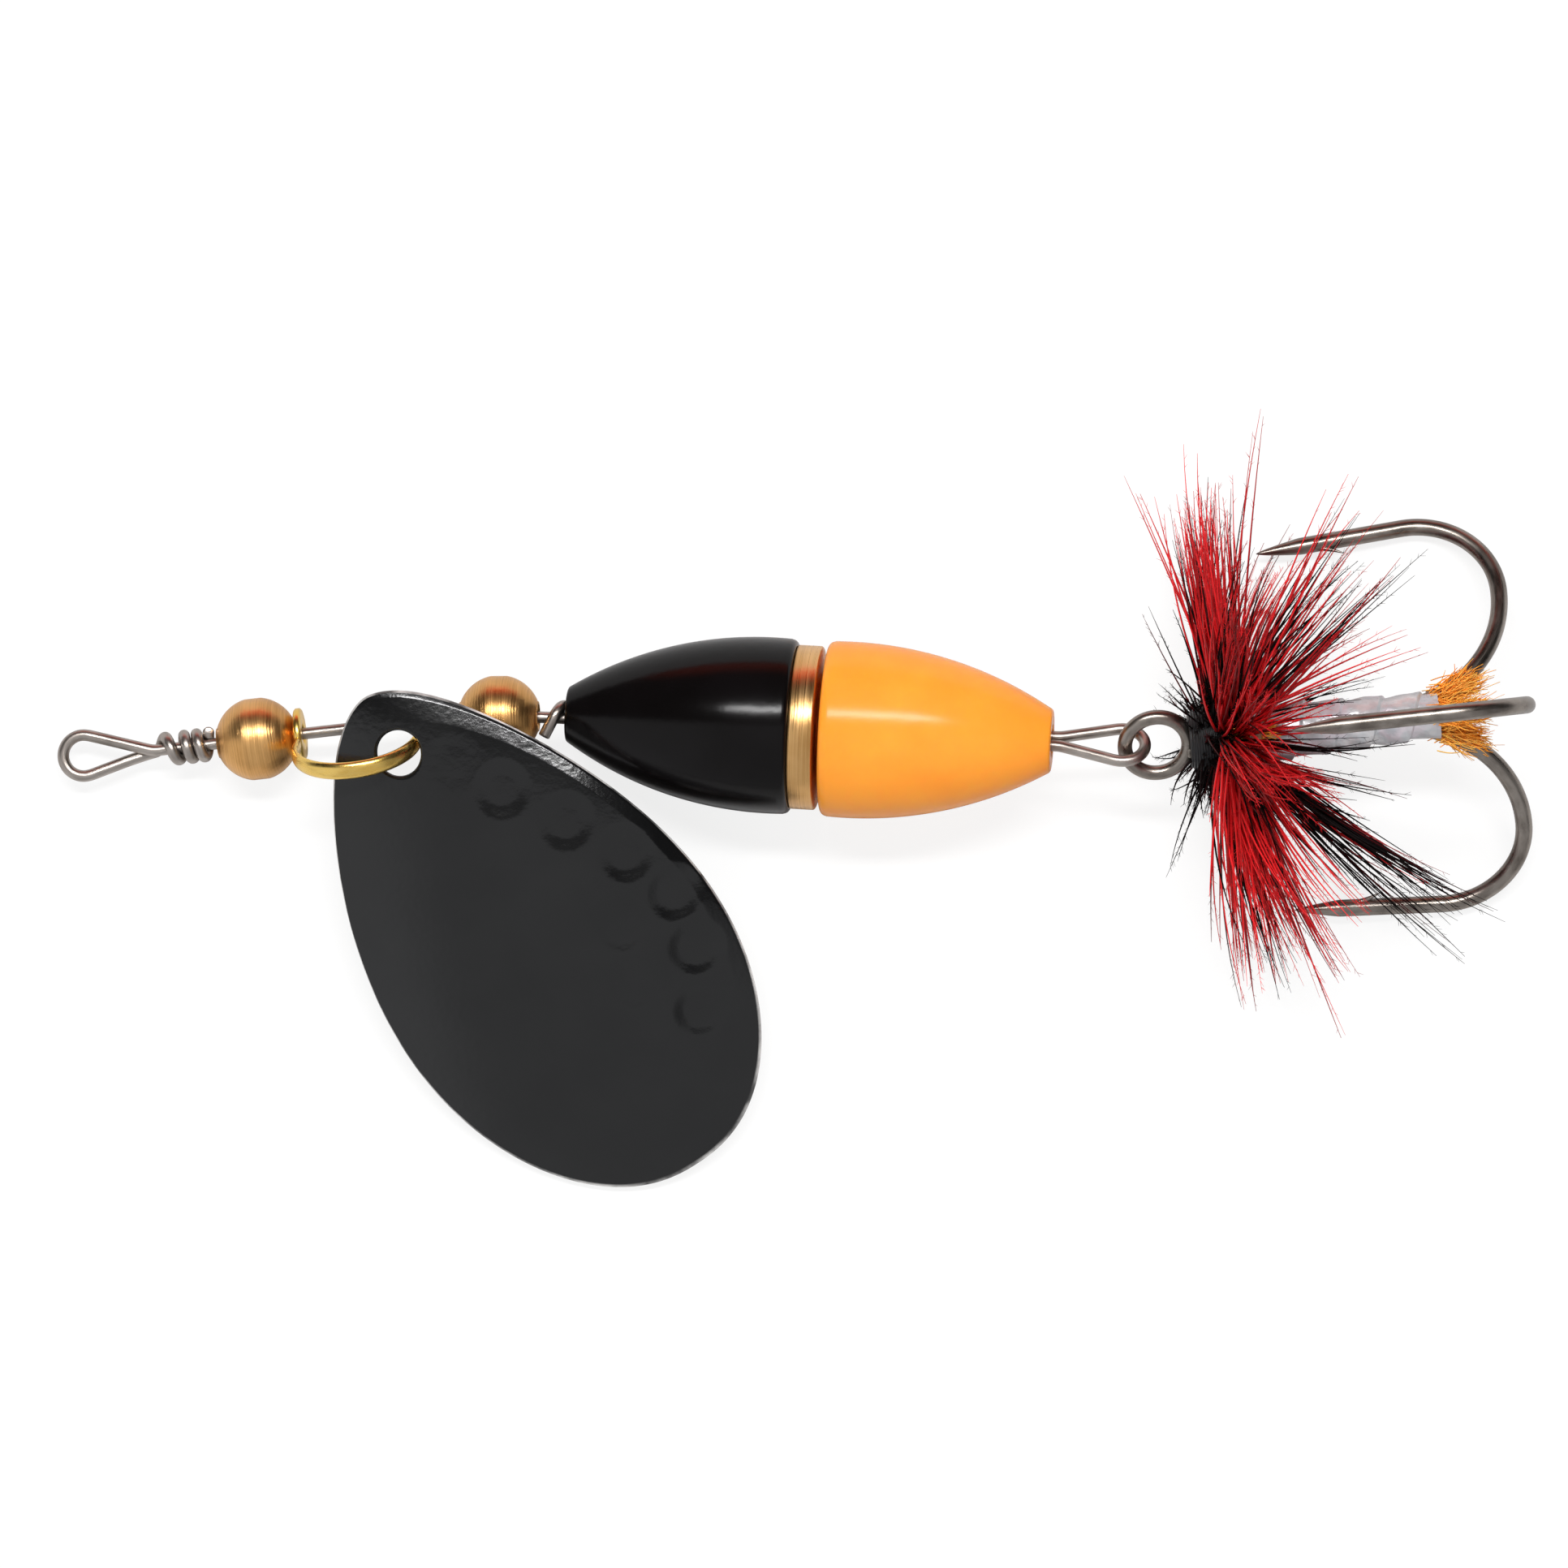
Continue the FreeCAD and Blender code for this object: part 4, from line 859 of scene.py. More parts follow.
def fibre_mesh(name, paths, radii, tint):
    """Many thin tapered fibres as one mesh. paths is fibres x points x 3 and radii the same
    without the last axis; each fibre is a slender three-sided prism, closed at both ends. Its UV
    is the share of the way along it and a lane of its own."""
    fibres, count = paths.shape[:2]
    sides = 3
    ahead = unit(np.gradient(paths, axis=1))
    hint = np.where(np.abs(ahead[..., 2:]) < 0.9, UP, AHEAD)
    side = unit(np.cross(ahead, hint))
    other = np.cross(ahead, side)
    turn = np.linspace(0, 2 * math.pi, sides, endpoint=False)[:, None]
    round_it = side[:, :, None, :] * np.cos(turn) + other[:, :, None, :] * np.sin(turn)
    cloud = (paths[:, :, None, :] + radii[..., None, None] * round_it).reshape(-1, 3)
    quads = grid_faces(count, sides)[:, ::-1]
    step = (np.arange(fibres) * count * sides)[:, None, None]
    faces = triangles((quads[None] + step).reshape(-1, 4))
    corner = np.arange(1, sides - 1)
    root_cap = np.stack([0 * corner, corner, corner + 1], axis=1)
    tip_cap = (count - 1) * sides + root_cap[:, ::-1]
    caps = (np.concatenate([root_cap, tip_cap])[None] + step).reshape(-1, 3)
    length = np.tile(np.repeat(np.linspace(0, 1, count), sides), fibres)
    lane = np.repeat(np.arange(fibres) * 0.37 % 1.0, count * sides)
    return mesh_piece(name, cloud, np.concatenate([faces, caps]), np.stack([length, lane], axis=1),
                      np.repeat(tint, count * sides))


def above_floor(paths):
    """Fibres that would pass through the table are laid along it instead: under a height ease over
    it, the height h becomes ease e^(h - ease)."""
    floor, ease = FLOOR_Z + 0.12, 0.6
    height = paths[..., 2] - floor
    eased = ease * np.exp(np.minimum(height, ease) - ease)
    laid = floor + np.where(height > ease, height, eased)
    return np.concatenate([paths[..., :2], laid[..., None]], axis=-1)


def hackle_paths(angles, leans, count, long_low, long_high, root, spread):
    """Centre lines of feather fibres in bunches. Every bunch has its own angle round the shank, its
    own lean back from square and its own length. Its fibres start apart on the wound quill and
    close up towards the bunch's tip, by the share CLUMPING of the way t along them, and bow back
    in an arc of the second degree."""
    total = len(angles) * count
    t = np.linspace(0, 1, FIBRE_POINTS)[None, :]
    closing = 1 - CLUMPING * t
    angle = np.repeat(angles, count)[:, None] + RNG.normal(0, spread, total)[:, None] * closing
    lean = np.repeat(leans, count)[:, None] + RNG.normal(0, spread * 0.8, total)[:, None] * closing
    longest = np.repeat(RNG.uniform(long_low, long_high, len(angles)), count)
    length = longest * RNG.uniform(0.76, 1.0, total)
    bow = np.repeat(RNG.uniform(-0.02, 0.20, len(angles)), count) + RNG.normal(0, 0.03, total)
    drift = np.repeat(RNG.normal(0, 0.12, len(angles)), count) + RNG.normal(0, 0.03, total)
    start = root + RNG.uniform(-0.8, 0.8, total)
    out = np.stack([np.cos(angle), np.sin(angle)], axis=2)
    tangent = np.stack([-np.sin(angle), np.cos(angle)], axis=2)
    run = t * length[:, None]
    x = start[:, None] + run * np.sin(lean) + bow[:, None] * run * t
    reach = 1.0 + run * np.cos(lean) - 0.4 * np.abs(bow)[:, None] * run * t
    side = drift[:, None] * run * t
    flat = reach[..., None] * out + side[..., None] * tangent
    local = np.concatenate([x[..., None], flat], axis=2)
    return above_floor(put(local, HOOK))


def between(paths, place):
    """Points at fractional places along every fibre, counted in its own points. Also returns the
    point before each and the one after."""
    low = np.minimum(place.astype(int), paths.shape[1] - 2)
    share = (place - low)[..., None]
    index = np.arange(len(paths))[:, None]
    here, following = paths[index, low], paths[index, low + 1]
    return here * (1 - share) + following * share, here, following


def clear_of_body(paths):
    """Fibres trimmed where they would touch the rear shell as the hook swings to its limits. Each
    is cut at the share of its length that stays clear, and keeps its own curve up to there. The
    shell's outline is taken as 5.8 - 3.5 u^2 at a share u of its length."""
    point, axis = joint_place("hook_swing")
    shell_start = put([BODY_LEN - REAR_SHELL_LEN, 0, 0], BODY)
    last = paths.shape[1] - 1
    keep = np.ones(len(paths))
    for degrees in (-60, -48, -36, 36, 48, 60):
        angle = math.radians(degrees)
        arm = paths - point
        swung = (arm * math.cos(angle) + np.cross(axis, arm) * math.sin(angle)
                 + axis * (arm @ axis)[..., None] * (1 - math.cos(angle))) + point
        from_start = swung - shell_start
        along = from_start @ REAR_AXIS
        away = np.linalg.norm(from_start - along[..., None] * REAR_AXIS, axis=2)
        inside = (along > -1) & (along < REAR_SHELL_LEN + 0.4)
        shell = 5.8 - 3.5 * np.clip(along / REAR_SHELL_LEN, 0, 1) ** 2
        hit = inside & (away < shell)
        first = np.where(hit.any(axis=1), hit.argmax(axis=1), last + 1)
        keep = np.minimum(keep, np.clip((first - 1.5) / last, 0.1, 1))
    return between(paths, np.linspace(0, 1, last + 1)[None, :] * keep[:, None] * last)[0]


def barbules(paths):
    """Short side hairs on the outer half of every fibre, swept towards its tip, as lines of three
    points."""
    place = RNG.uniform(0.42, 0.98, (len(paths), HAIRS_EACH)) * (paths.shape[1] - 1)
    base, here, following = between(paths, place)
    ahead = unit(following - here)
    sideways = RNG.normal(0, 1, here.shape)
    sideways = unit(sideways - ahead * np.sum(sideways * ahead, axis=2, keepdims=True))
    reach = RNG.uniform(0.22, 0.45, (len(paths), HAIRS_EACH, 1))
    tips = base + (ahead * 0.75 + sideways * 0.66) * reach
    ends = np.stack([base, tips], axis=2).reshape(-1, 2, 3)
    ends[..., 2] = np.maximum(ends[..., 2], FLOOR_Z + 0.1)
    share = np.linspace(0, 1, 3)[None, :, None]
    return ends[:, :1] * (1 - share) + ends[:, 1:] * share


def fibre_radii(count, root, tip):
    """Radius along every fibre, from root to tip as 1 - t^1.6. No two are equally thick."""
    t = np.linspace(0, 1, FIBRE_POINTS)[None, :]
    spread = RNG.uniform(0.75, 1.25, count)[:, None]
    return spread * (tip + (root - tip) * (1 - t ** 1.6))


def bunches(count, first, lean_low, lean_high):
    """Evenly spaced bunch angles round the shank, a little disturbed, and their leans back. The
    bunches on the blade's side lean further, by LEAN_MORE (1 - cos angle) / 2."""
    step = 2 * math.pi / count
    angles = math.radians(first) + step * np.arange(count) + RNG.normal(0, step * 0.18, count)
    leans = RNG.uniform(lean_low, lean_high, count) + LEAN_MORE * (1 - np.cos(angles)) / 2
    return angles, np.radians(leans)


def hackle_sets():
    """Bunches of each hackle: their angles and leans, how many fibres each has, the shortest and
    the longest fibre, the place along the shank, and how loose a bunch is."""
    return {
        "hackle_red": [
            (*bunches(30, 8, -8, 9), 16, 12.5, 19.6, 4.6, 0.11),       # the full collar
            (*bunches(14, 30, -14, 12), 3, 18.5, 21.2, 4.6, 0.07),     # the longest fibres
            (*bunches(13, 20, 12, 34), 6, 9.0, 18.0, 5.1, 0.11),       # swept back
            (*bunches(9, 0, 42, 74), 5, 6.0, 13.0, 5.2, 0.14)],        # close to the shank
        "hackle_black": [
            (*bunches(17, 24, -10, 9), 6, 12.0, 19.6, 4.1, 0.11),
            (*bunches(8, 55, 22, 42), 4, 11.0, 18.5, 4.4, 0.10),
            (np.radians([178.0, 190.0, 199.0]), np.radians([42.0, 37.0, 46.0]),
             15, 16.5, 20.0, 5.2, 0.07),                               # dense, on the blade's side
            (np.radians([8.0, -10.0]), np.radians([52.0, 32.0]),
             6, 13.0, 17.5, 5.0, 0.08),                                # and opposite it
            (*bunches(7, 10, 44, 66), 3, 8.0, 15.0, 4.4, 0.16),
            (*bunches(6, 65, -32, -14), 3, 8.0, 18.0, 3.6, 0.14),      # swept forward
            (*bunches(16, 0, -35, 30), 24, 1.6, 4.4, 3.4, 0.35)]}      # short fluff at the root


def hackles():
    """Red and black hackle, each as its fibres and the side hairs on them."""
    thickness = {"hackle_red": 0.105, "hackle_black": 0.095}
    for name, groups in hackle_sets().items():
        paths = clear_of_body(np.concatenate([hackle_paths(*group) for group in groups]))
        tint = RNG.uniform(0, 1, len(paths))
        hairs = barbules(paths)
        radii = fibre_radii(len(paths), thickness[name], 0.014)
        piece = fibre_mesh(name + "_fibres", paths, radii, tint)
        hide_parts(name)
        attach(piece, "hook")
        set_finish(piece, name)
        hair_radii = np.tile([0.016, 0.013, 0.006], (len(hairs), 1))
        fuzz = fibre_mesh(name + "_barbules", hairs, hair_radii, np.repeat(tint, HAIRS_EACH))
        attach(fuzz, "hook")
        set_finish(fuzz, name)


def floss_fibres(name, node, start, end, spread_in, spread_out, count):
    """Tufts of floss, one beside each shank: loose fibres that run from one place to another and
    fan out between. A place is a distance along the shank and one from its axis."""
    tufts = []
    t = np.linspace(0, 1, FIBRE_POINTS)[None, :, None]
    for degrees in HOOK_ANGLES.values():
        angle = math.radians(degrees)
        beside = np.array([0, math.cos(angle), math.sin(angle)])
        near, far = (AHEAD * place[0] + beside * place[1] for place in (start, end))
        root = near + RNG.normal(0, spread_in, (count, 3))
        tip = far + RNG.normal(0, spread_out, (count, 3))
        tip = tip + (far - near) * RNG.uniform(-0.22, 0.06, (count, 1))
        bulge = RNG.normal(0, 0.18, (count, 1, 3))
        line = root[:, None, :] * (1 - t) + tip[:, None, :] * t
        tufts.append(line + bulge * np.sin(math.pi * t))
    paths = put(np.concatenate(tufts), HOOK)
    radii = fibre_radii(len(paths), 0.042, 0.022)
    piece = fibre_mesh(name, paths, radii, RNG.uniform(0, 1, len(paths)))
    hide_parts(node)
    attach(piece, "hook")
    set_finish(piece, "floss_orange")


def floss():
    """Orange floss: an underbody below the hackle and tags in the fork of the bends."""
    floss_fibres("floss_underbody_fibres", "floss_underbody", (4.6, 1.3), (7.4, 1.75),
                 spread_in=0.35, spread_out=0.35, count=60)
    floss_fibres("floss_tag_fibres", "floss_tag", (17.2, 1.0), (19.7, 2.2),
                 spread_in=0.36, spread_out=0.50, count=400)


# ---------------------------------------------------------------- materials

def shader(name, colour, roughness, metallic=0.0):
    """New material with one Principled shader, its nodes and its links."""
    material = bpy.data.materials.new(name)
    material.use_nodes = True
    bsdf = material.node_tree.nodes["Principled BSDF"]
    bsdf.inputs["Base Color"].default_value = (*colour, 1)
    bsdf.inputs["Roughness"].default_value = roughness
    bsdf.inputs["Metallic"].default_value = metallic
    return material, bsdf


def new_node(tree, kind, **settings):
    """New shader node with some of its properties set."""
    made = tree.nodes.new(kind)
    for name, value in settings.items():
        setattr(made, name, value)
    return made


def product(tree, first, second):
    """Product of two values."""
    made = new_node(tree, "ShaderNodeMath", operation="MULTIPLY")
    tree.links.new(first, made.inputs[0])
    tree.links.new(second, made.inputs[1])
    return made.outputs["Value"]


def add_noise(material, scale, detail=3.0, stretch=(1, 1, 1), source="Object"):
    """Noise on Object coordinates or on the piece's own UV map, with a stretch per axis."""
    tree = material.node_tree
    place = new_node(tree, "ShaderNodeTexCoord")
    mapping = new_node(tree, "ShaderNodeMapping")
    noise = new_node(tree, "ShaderNodeTexNoise")
    noise.inputs["Scale"].default_value = scale
    noise.inputs["Detail"].default_value = detail
    mapping.inputs["Scale"].default_value = stretch
    tree.links.new(place.outputs[source], mapping.inputs["Vector"])
    tree.links.new(mapping.outputs["Vector"], noise.inputs["Vector"])
    return noise.outputs["Fac"]


def add_bump(material, bsdf, height, distance):
    """Bump from a height; distance is in metres."""
    bump = new_node(material.node_tree, "ShaderNodeBump")
    bump.inputs["Strength"].default_value = 1.0
    bump.inputs["Distance"].default_value = distance
    material.node_tree.links.new(height, bump.inputs["Height"])
    material.node_tree.links.new(bump.outputs["Normal"], bsdf.inputs["Normal"])


def add_ramp(material, value, stops):
    """Colour ramp over a value. Stops are (place, colour), in order."""
    node = new_node(material.node_tree, "ShaderNodeValToRGB")
    elements = node.color_ramp.elements
    for element, (place, colour) in zip(elements, (stops[0], stops[-1])):
        element.position = place
        element.color = (*colour, 1)
    for place, colour in stops[1:-1]:
        elements.new(place).color = (*colour, 1)
    material.node_tree.links.new(value, node.inputs["Fac"])
    return node.outputs["Color"]


def add_range(material, value, low, high):
    """A value from 0 to 1 spread over another range."""
    node = new_node(material.node_tree, "ShaderNodeMapRange")
    node.inputs["To Min"].default_value = low
    node.inputs["To Max"].default_value = high
    material.node_tree.links.new(value, node.inputs["Value"])
    return node.outputs["Result"]


def brushed(name, dark, light, roughness, lines, spots, depth):
    """Metal with fine lines along its turning or drawing direction, and faint tarnish. lines is
    how often the lines repeat along each axis of the UV map, in their own unit."""
    material, bsdf = shader(name, light, roughness, 1.0)
    fine = add_noise(material, 1.0, 4.0, lines, "UV")
    cloud = add_noise(material, spots)
    tree = material.node_tree
    blend = new_node(tree, "ShaderNodeMath", operation="ADD")
    tree.links.new(add_range(material, cloud, 0.0, 0.5), blend.inputs[0])
    tree.links.new(add_range(material, fine, 0.0, 0.5), blend.inputs[1])
    tree.links.new(add_ramp(material, blend.outputs["Value"], [(0.36, dark), (0.6, light)]),
                   bsdf.inputs["Base Color"])
    satin = add_range(material, fine, roughness * 0.6, roughness * 1.45)
    tree.links.new(satin, bsdf.inputs["Roughness"])
    add_bump(material, bsdf, fine, depth)
    return material


def glossy_shell(name, colour, under, roughness, shine):
    """Moulded glossy shell, faintly mottled between two shades, with a very faint orange peel."""
    material, bsdf = shader(name, colour, roughness)
    bsdf.inputs["Specular IOR Level"].default_value = shine
    bsdf.inputs["IOR"].default_value = 1.5
    cloud = add_noise(material, 260.0, 2.0)
    material.node_tree.links.new(add_ramp(material, cloud, [(0.35, under), (0.65, colour)]),
                                 bsdf.inputs["Base Color"])
    add_bump(material, bsdf, add_noise(material, 900.0, 2.0), 0.000012)
    return material, bsdf


RIM_METAL = 0.35
# Pale colour of the blade's rim: partly bare metal, partly a painted highlight.
RIM_BARE_AND_HIGHLIGHT = (0.74, 0.72, 0.70, 1)


def blade_finish():
    """Black lacquer on sheet metal: satin with tiny pits. On its rim, which the piece's tint marks,
    patches are painted pale: partly bare metal, partly a painted highlight."""
    material, bsdf = shader("blade_lacquer", (0.0115, 0.012, 0.0125), 0.28)
    tree = material.node_tree
    bsdf.inputs["Specular IOR Level"].default_value = 0.54
    grain = add_noise(material, 2600.0, 4.0)
    cloud = add_noise(material, 230.0, 5.0)
    patches = add_ramp(material, add_noise(material, 420.0, 5.0),
                       [(0.36, (0.1, 0.1, 0.1)), (0.6, (1, 1, 1))])
    lacquer = add_ramp(material, cloud, [(0.3, (0.0036, 0.0036, 0.0038)),
                                         (0.7, (0.0054, 0.0054, 0.0056))])
    rim = new_node(tree, "ShaderNodeAttribute", attribute_name="tint")
    # Rim patches in the pale colour: partly bare metal, partly a painted highlight.
    rim_wear_and_highlight = product(tree, rim.outputs["Fac"], patches)
    colour = new_node(tree, "ShaderNodeMix", data_type="RGBA")
    colour.inputs["B"].default_value = RIM_BARE_AND_HIGHLIGHT
    tree.links.new(lacquer, colour.inputs["A"])
    tree.links.new(rim_wear_and_highlight, colour.inputs["Factor"])
    tree.links.new(colour.outputs["Result"], bsdf.inputs["Base Color"])
    tree.links.new(add_range(material, cloud, 0.13, 0.18), bsdf.inputs["Roughness"])
    tree.links.new(add_range(material, rim_wear_and_highlight, 0.0, RIM_METAL), bsdf.inputs["Metallic"])
    add_bump(material, bsdf, grain, 0.000012)
    return material


def fibre_finish(name, stops, roughness, shine):
    """Feather or floss: every fibre has its own shade from the piece's tint."""
    material, bsdf = shader(name, stops[0][1], roughness)
    own = new_node(material.node_tree, "ShaderNodeAttribute", attribute_name="tint")
    material.node_tree.links.new(add_ramp(material, own.outputs["Fac"], stops),
                                 bsdf.inputs["Base Color"])
    bsdf.inputs["Specular IOR Level"].default_value = shine
    return material


def thread_finish():
    """Waxed black thread."""
    material, bsdf = shader("thread_waxed", (0.008, 0.008, 0.009), 0.42)
    add_bump(material, bsdf, add_noise(material, 5200.0, 2.0), 0.00002)
    return material


def tinsel_finish():
    """Crinkled metal tape with a faint play of colour."""
    material, bsdf = shader("tinsel_tape", (0.62, 0.60, 0.62), 0.30, 0.45)
    stops = [(0.25, (0.40, 0.40, 0.43)), (0.42, (0.60, 0.54, 0.58)),
             (0.55, (0.50, 0.51, 0.53)), (0.75, (0.68, 0.65, 0.65))]
    shades = add_ramp(material, add_noise(material, 520.0), stops)
    material.node_tree.links.new(shades, bsdf.inputs["Base Color"])
    add_bump(material, bsdf, add_noise(material, 1500.0, 4.0), 0.00012)
    return material


def black_finish():
    """Deep black moulding."""
    return glossy_shell("shell_black_gloss", colour=(0.0035, 0.0028, 0.003),
                        under=(0.0025, 0.002, 0.002), roughness=0.18, shine=0.17)[0]


def orange_finish():
    """Orange moulding that lets some light through, the red part of it furthest."""
    material, bsdf = glossy_shell("shell_orange_gloss", colour=(0.90, 0.332, 0.036),
                                  under=(0.89, 0.302, 0.031), roughness=0.22, shine=0.20)
    bsdf.inputs["Subsurface Weight"].default_value = 0.4
    bsdf.inputs["Subsurface Radius"].default_value = (1.0, 0.30, 0.06)
    bsdf.inputs["Subsurface Scale"].default_value = 0.0014
    return material


def finishes():
    """Every material, by the slot that it belongs to."""
    return {
        "spring_wire": brushed("wire_drawn", dark=(0.30, 0.26, 0.23), light=(0.50, 0.45, 0.41),
                               roughness=0.34, lines=(0.6, 9, 1), spots=420.0, depth=0.000010),
        "bead_brass": brushed("bead_brushed", dark=(0.58, 0.29, 0.09), light=(0.88, 0.50, 0.19),
                              roughness=0.33, lines=(11, 0.35, 1), spots=330.0, depth=0.000030),
        "clevis_brass": brushed("clevis_polished", dark=(0.94, 0.60, 0.14), light=(0.98, 0.68, 0.20),
                                roughness=0.27, lines=(1.2, 3, 1), spots=300.0, depth=0.000001),
        "core_brass": brushed("core_brushed", dark=(0.62, 0.33, 0.11), light=(0.92, 0.57, 0.25),
                              roughness=0.30, lines=(11, 0.4, 1), spots=260.0, depth=0.000030),
        "hook_bronze": brushed("hook_bronzed", dark=(0.17, 0.145, 0.125), light=(0.36, 0.32, 0.285),
                               roughness=0.30, lines=(0.8, 6, 1), spots=300.0, depth=0.000006),
        "blade_black": blade_finish(),
        "shell_black": black_finish(),
        "shell_orange": orange_finish(),
        "thread_black": thread_finish(),
        "tinsel_silver": tinsel_finish(),
        "hackle_black": fibre_finish("hackle_black_fibre", roughness=0.5, shine=0.06, stops=[
            (0.0, (0.003, 0.002, 0.002)), (0.86, (0.006, 0.003, 0.003)), (1.0, (0.09, 0.004, 0.006))]),
        "hackle_red": fibre_finish("hackle_red_fibre", roughness=0.42, shine=0.3, stops=[
            (0.0, (0.04, 0.002, 0.003)), (0.14, (0.30, 0.003, 0.005)), (0.5, (0.68, 0.008, 0.012)),
            (1.0, (0.95, 0.022, 0.028))]),
        "floss_orange": fibre_finish("floss_orange_fibre", roughness=0.4, shine=0.2, stops=[
            (0.0, (1.0, 0.30, 0.02)), (1.0, (1.0, 0.56, 0.10))]),
    }


def dress(made):
    """Gives each piece, and each CAD node, the finish of its slot."""
    for item in bpy.data.objects:
        slot_name = item.get("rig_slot")
        if item.type == "MESH" and slot_name in made:
            item.data.materials.clear()
            item.data.materials.append(made[slot_name])
    slots = {entry["node"]: entry["material_slot"] for entry in frame["record"]["subparts"]}
    for node, item in frame["nodes"].items():
        if slots.get(node) in made:
            for material_slot in item.material_slots:
                material_slot.material = made[slots[node]]


# ---------------------------------------------------------------- studio, in metres

FLOOR_GLOW = 0.82
ROOM_GREY = 0.55
ROOM_DARK = 0.015
WARM_BAND = 1.1
MIDDLE = (0.045, -0.002, 0.0)
CAMERA_AT = (0.04315, -0.00175, 0.60)
VIEW_WIDTH = 0.0966
SENSOR_WIDTH = 36.0      # millimetres


def area_light(name, place, width, height, power):
    """Rectangular soft light aimed at the lure's middle."""
    data = bpy.data.lights.new(name, "AREA")
    data.shape = "RECTANGLE"
    data.size = width
    data.size_y = height
    data.energy = power
    lamp = bpy.data.objects.new(name, data)
    bpy.context.scene.collection.objects.link(lamp)
    lamp.location = place
    lamp.rotation_euler = (Vector(MIDDLE) - Vector(place)).to_track_quat("-Z", "Y").to_euler()
    return lamp


def pale_floor():
    """Plain pale table top that keeps the lure's shadow. The camera sees it mostly as a glow, and
    the light that it throws back on the lure is a dimmer grey."""
    half = 6.0
    z = FLOOR_Z * MM
    mesh = bpy.data.meshes.new("floor")
    corners = [(-half, -half, z), (half, -half, z), (half, half, z), (-half, half, z)]
    mesh.from_pydata(corners, [], [(0, 1, 2, 3)])
    floor = bpy.data.objects.new("floor", mesh)
    bpy.context.scene.collection.objects.link(floor)
    material = bpy.data.materials.new("floor_white")
    material.use_nodes = True
    tree = material.node_tree
    bsdf = tree.nodes["Principled BSDF"]
    bsdf.inputs["Roughness"].default_value = 0.9
    bsdf.inputs["Specular IOR Level"].default_value = 0.1
    rays = new_node(tree, "ShaderNodeLightPath")
    tone = new_node(tree, "ShaderNodeMix", data_type="RGBA")
    tone.inputs["A"].default_value = (0.55, 0.55, 0.55, 1)
    tone.inputs["B"].default_value = (0.97, 0.97, 0.97, 1)
    tree.links.new(rays.outputs["Is Camera Ray"], tone.inputs["Factor"])
    tree.links.new(tone.outputs["Result"], bsdf.inputs["Base Color"])
    glow = new_node(tree, "ShaderNodeEmission")
    glow.inputs["Color"].default_value = (1, 1, 0.997, 1)
    glow.inputs["Strength"].default_value = 1.0
    share = new_node(tree, "ShaderNodeMath", operation="MULTIPLY")
    share.inputs[1].default_value = FLOOR_GLOW
    tree.links.new(rays.outputs["Is Camera Ray"], share.inputs[0])
    mix = new_node(tree, "ShaderNodeMixShader")
    tree.links.new(share.outputs["Value"], mix.inputs["Fac"])
    tree.links.new(bsdf.outputs["BSDF"], mix.inputs[1])
    tree.links.new(glow.outputs["Emission"], mix.inputs[2])
    tree.links.new(mix.outputs["Shader"], tree.nodes["Material Output"].inputs["Surface"])
    floor.data.materials.append(material)


def world_range(tree, value, low, high, to_low, to_high):
    """Smooth step of a value from one level to another, between two places."""
    step = new_node(tree, "ShaderNodeMapRange", interpolation_type="SMOOTHSTEP")
    levels = {"From Min": low, "From Max": high, "To Min": to_low, "To Max": to_high}
    for name, number in levels.items():
        step.inputs[name].default_value = number
    tree.links.new(value, step.inputs["Value"])
    return step.outputs["Result"]


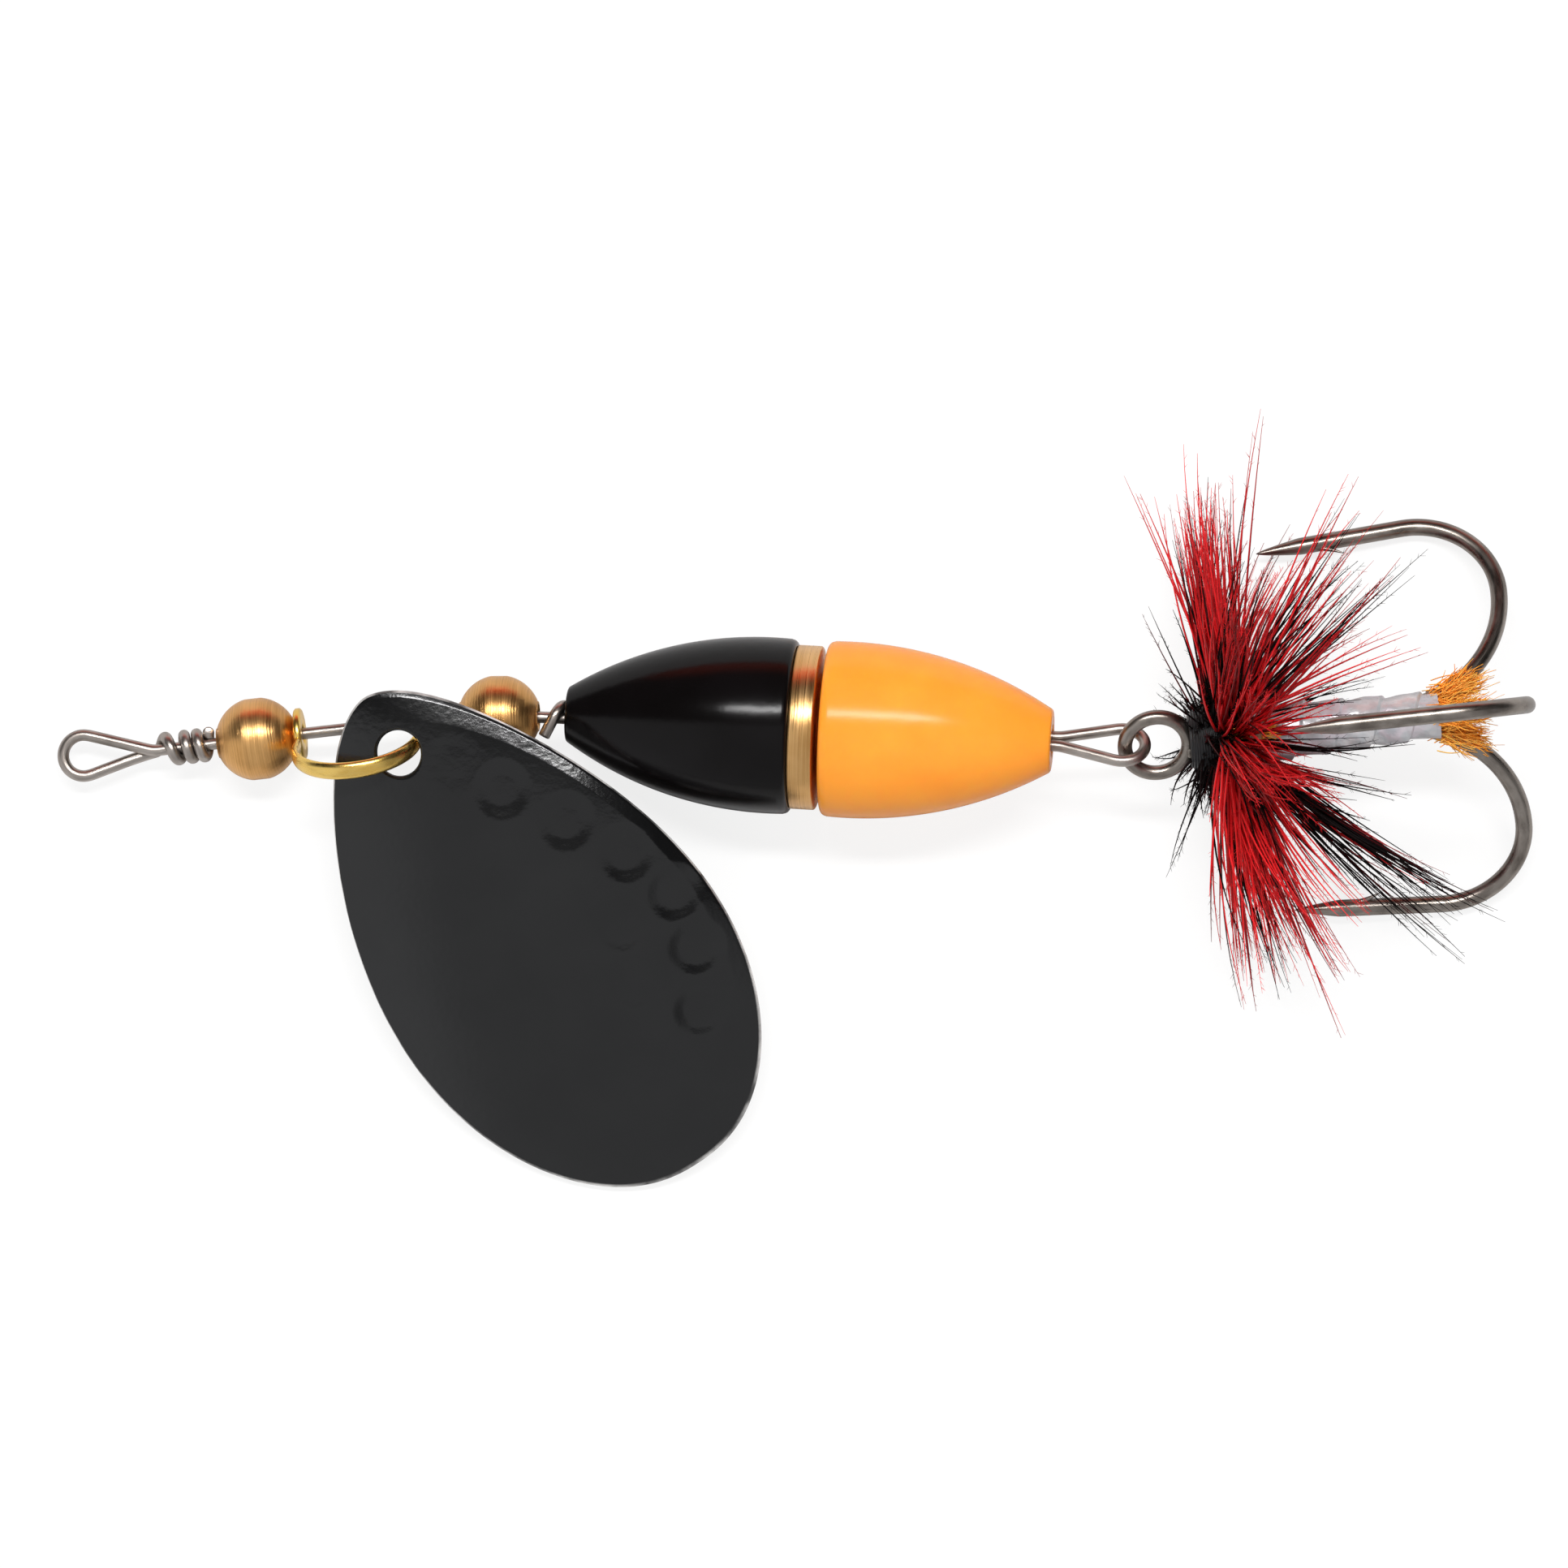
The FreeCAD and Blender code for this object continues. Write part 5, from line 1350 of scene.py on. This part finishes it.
def studio_world():
    """Room for the reflections: grey above and on the blade's side, brighter at the eye's end, dark
    at the hook's end and on the far side, with a dim warm band low down there. The camera sees it
    white."""
    world = bpy.data.worlds.new("studio")
    bpy.context.scene.world = world
    world.use_nodes = True
    tree = world.node_tree
    place = new_node(tree, "ShaderNodeTexCoord")
    split = new_node(tree, "ShaderNodeSeparateXYZ")
    tree.links.new(place.outputs["Generated"], split.inputs["Vector"])
    grey = world_range(tree, split.outputs["Y"], -0.05, 0.07, ROOM_GREY, ROOM_DARK)
    for low, high, from_share, to_share in ((0.60, 0.80, 1.0, 0.45), (-0.60, -0.36, 1.4, 1.0)):
        along = world_range(tree, split.outputs["X"], low, high, from_share, to_share)
        grey = product(tree, grey, along)
    room = tree.nodes["Background"]
    room.inputs["Color"].default_value = (0.97, 0.98, 1.0, 1)
    tree.links.new(grey, room.inputs["Strength"])
    band = product(tree, world_range(tree, split.outputs["Y"], 0.80, 0.93, 0.0, WARM_BAND),
                   world_range(tree, split.outputs["Z"], 0.08, 0.34, 1.0, 0.0))
    warm = new_node(tree, "ShaderNodeBackground")
    warm.inputs["Color"].default_value = (1.0, 0.10, 0.03, 1)
    tree.links.new(band, warm.inputs["Strength"])
    both = new_node(tree, "ShaderNodeAddShader")
    tree.links.new(room.outputs["Background"], both.inputs[0])
    tree.links.new(warm.outputs["Background"], both.inputs[1])
    seen = new_node(tree, "ShaderNodeBackground")
    seen.inputs["Color"].default_value = (1, 1, 1, 1)
    seen.inputs["Strength"].default_value = 1.0
    rays = new_node(tree, "ShaderNodeLightPath")
    mix = new_node(tree, "ShaderNodeMixShader")
    tree.links.new(rays.outputs["Is Camera Ray"], mix.inputs["Fac"])
    tree.links.new(both.outputs["Shader"], mix.inputs[1])
    tree.links.new(seen.outputs["Background"], mix.inputs[2])
    tree.links.new(mix.outputs["Shader"], tree.nodes["World Output"].inputs["Surface"])


def camera():
    """Straight down on the lure, with a long lens."""
    data = bpy.data.cameras.new("camera")
    data.sensor_width = SENSOR_WIDTH
    data.lens = SENSOR_WIDTH * CAMERA_AT[2] / VIEW_WIDTH
    data.clip_start = 0.01
    data.clip_end = 20
    view = bpy.data.objects.new("camera", data)
    view.location = CAMERA_AT
    bpy.context.scene.collection.objects.link(view)
    bpy.context.scene.camera = view


def studio():
    """Floor, room, soft lights and the camera. The fills have no mirror image on the lure."""
    pale_floor()
    studio_world()
    area_light("key_soft", (0.045, 0.190, 0.50), width=0.38, height=0.05, power=2.4)
    for name, place, power in (("fill_near", (0.04, -0.30, 0.45), 0.6),
                               ("fill_far", (0.05, 0.35, 0.40), 1.3)):
        fill = area_light(name, place, width=0.50, height=0.40, power=power)
        fill.visible_glossy = False
    camera()
    bpy.context.scene.view_settings.view_transform = "Standard"


# ---------------------------------------------------------------- the lure

shaft_wire()
bead("front_bead_turned", "front_bead", "front_bead", "front_bead_spin")
bead("rear_bead_turned", "rear_bead", "rear_bead", "rear_bead_spin")
clevis()
blade()
front_shell()
rear_shell()
body_core()
hook_double()
hook_single()
thread_head()
tinsel()
hackles()
floss()
dress(finishes())
studio()
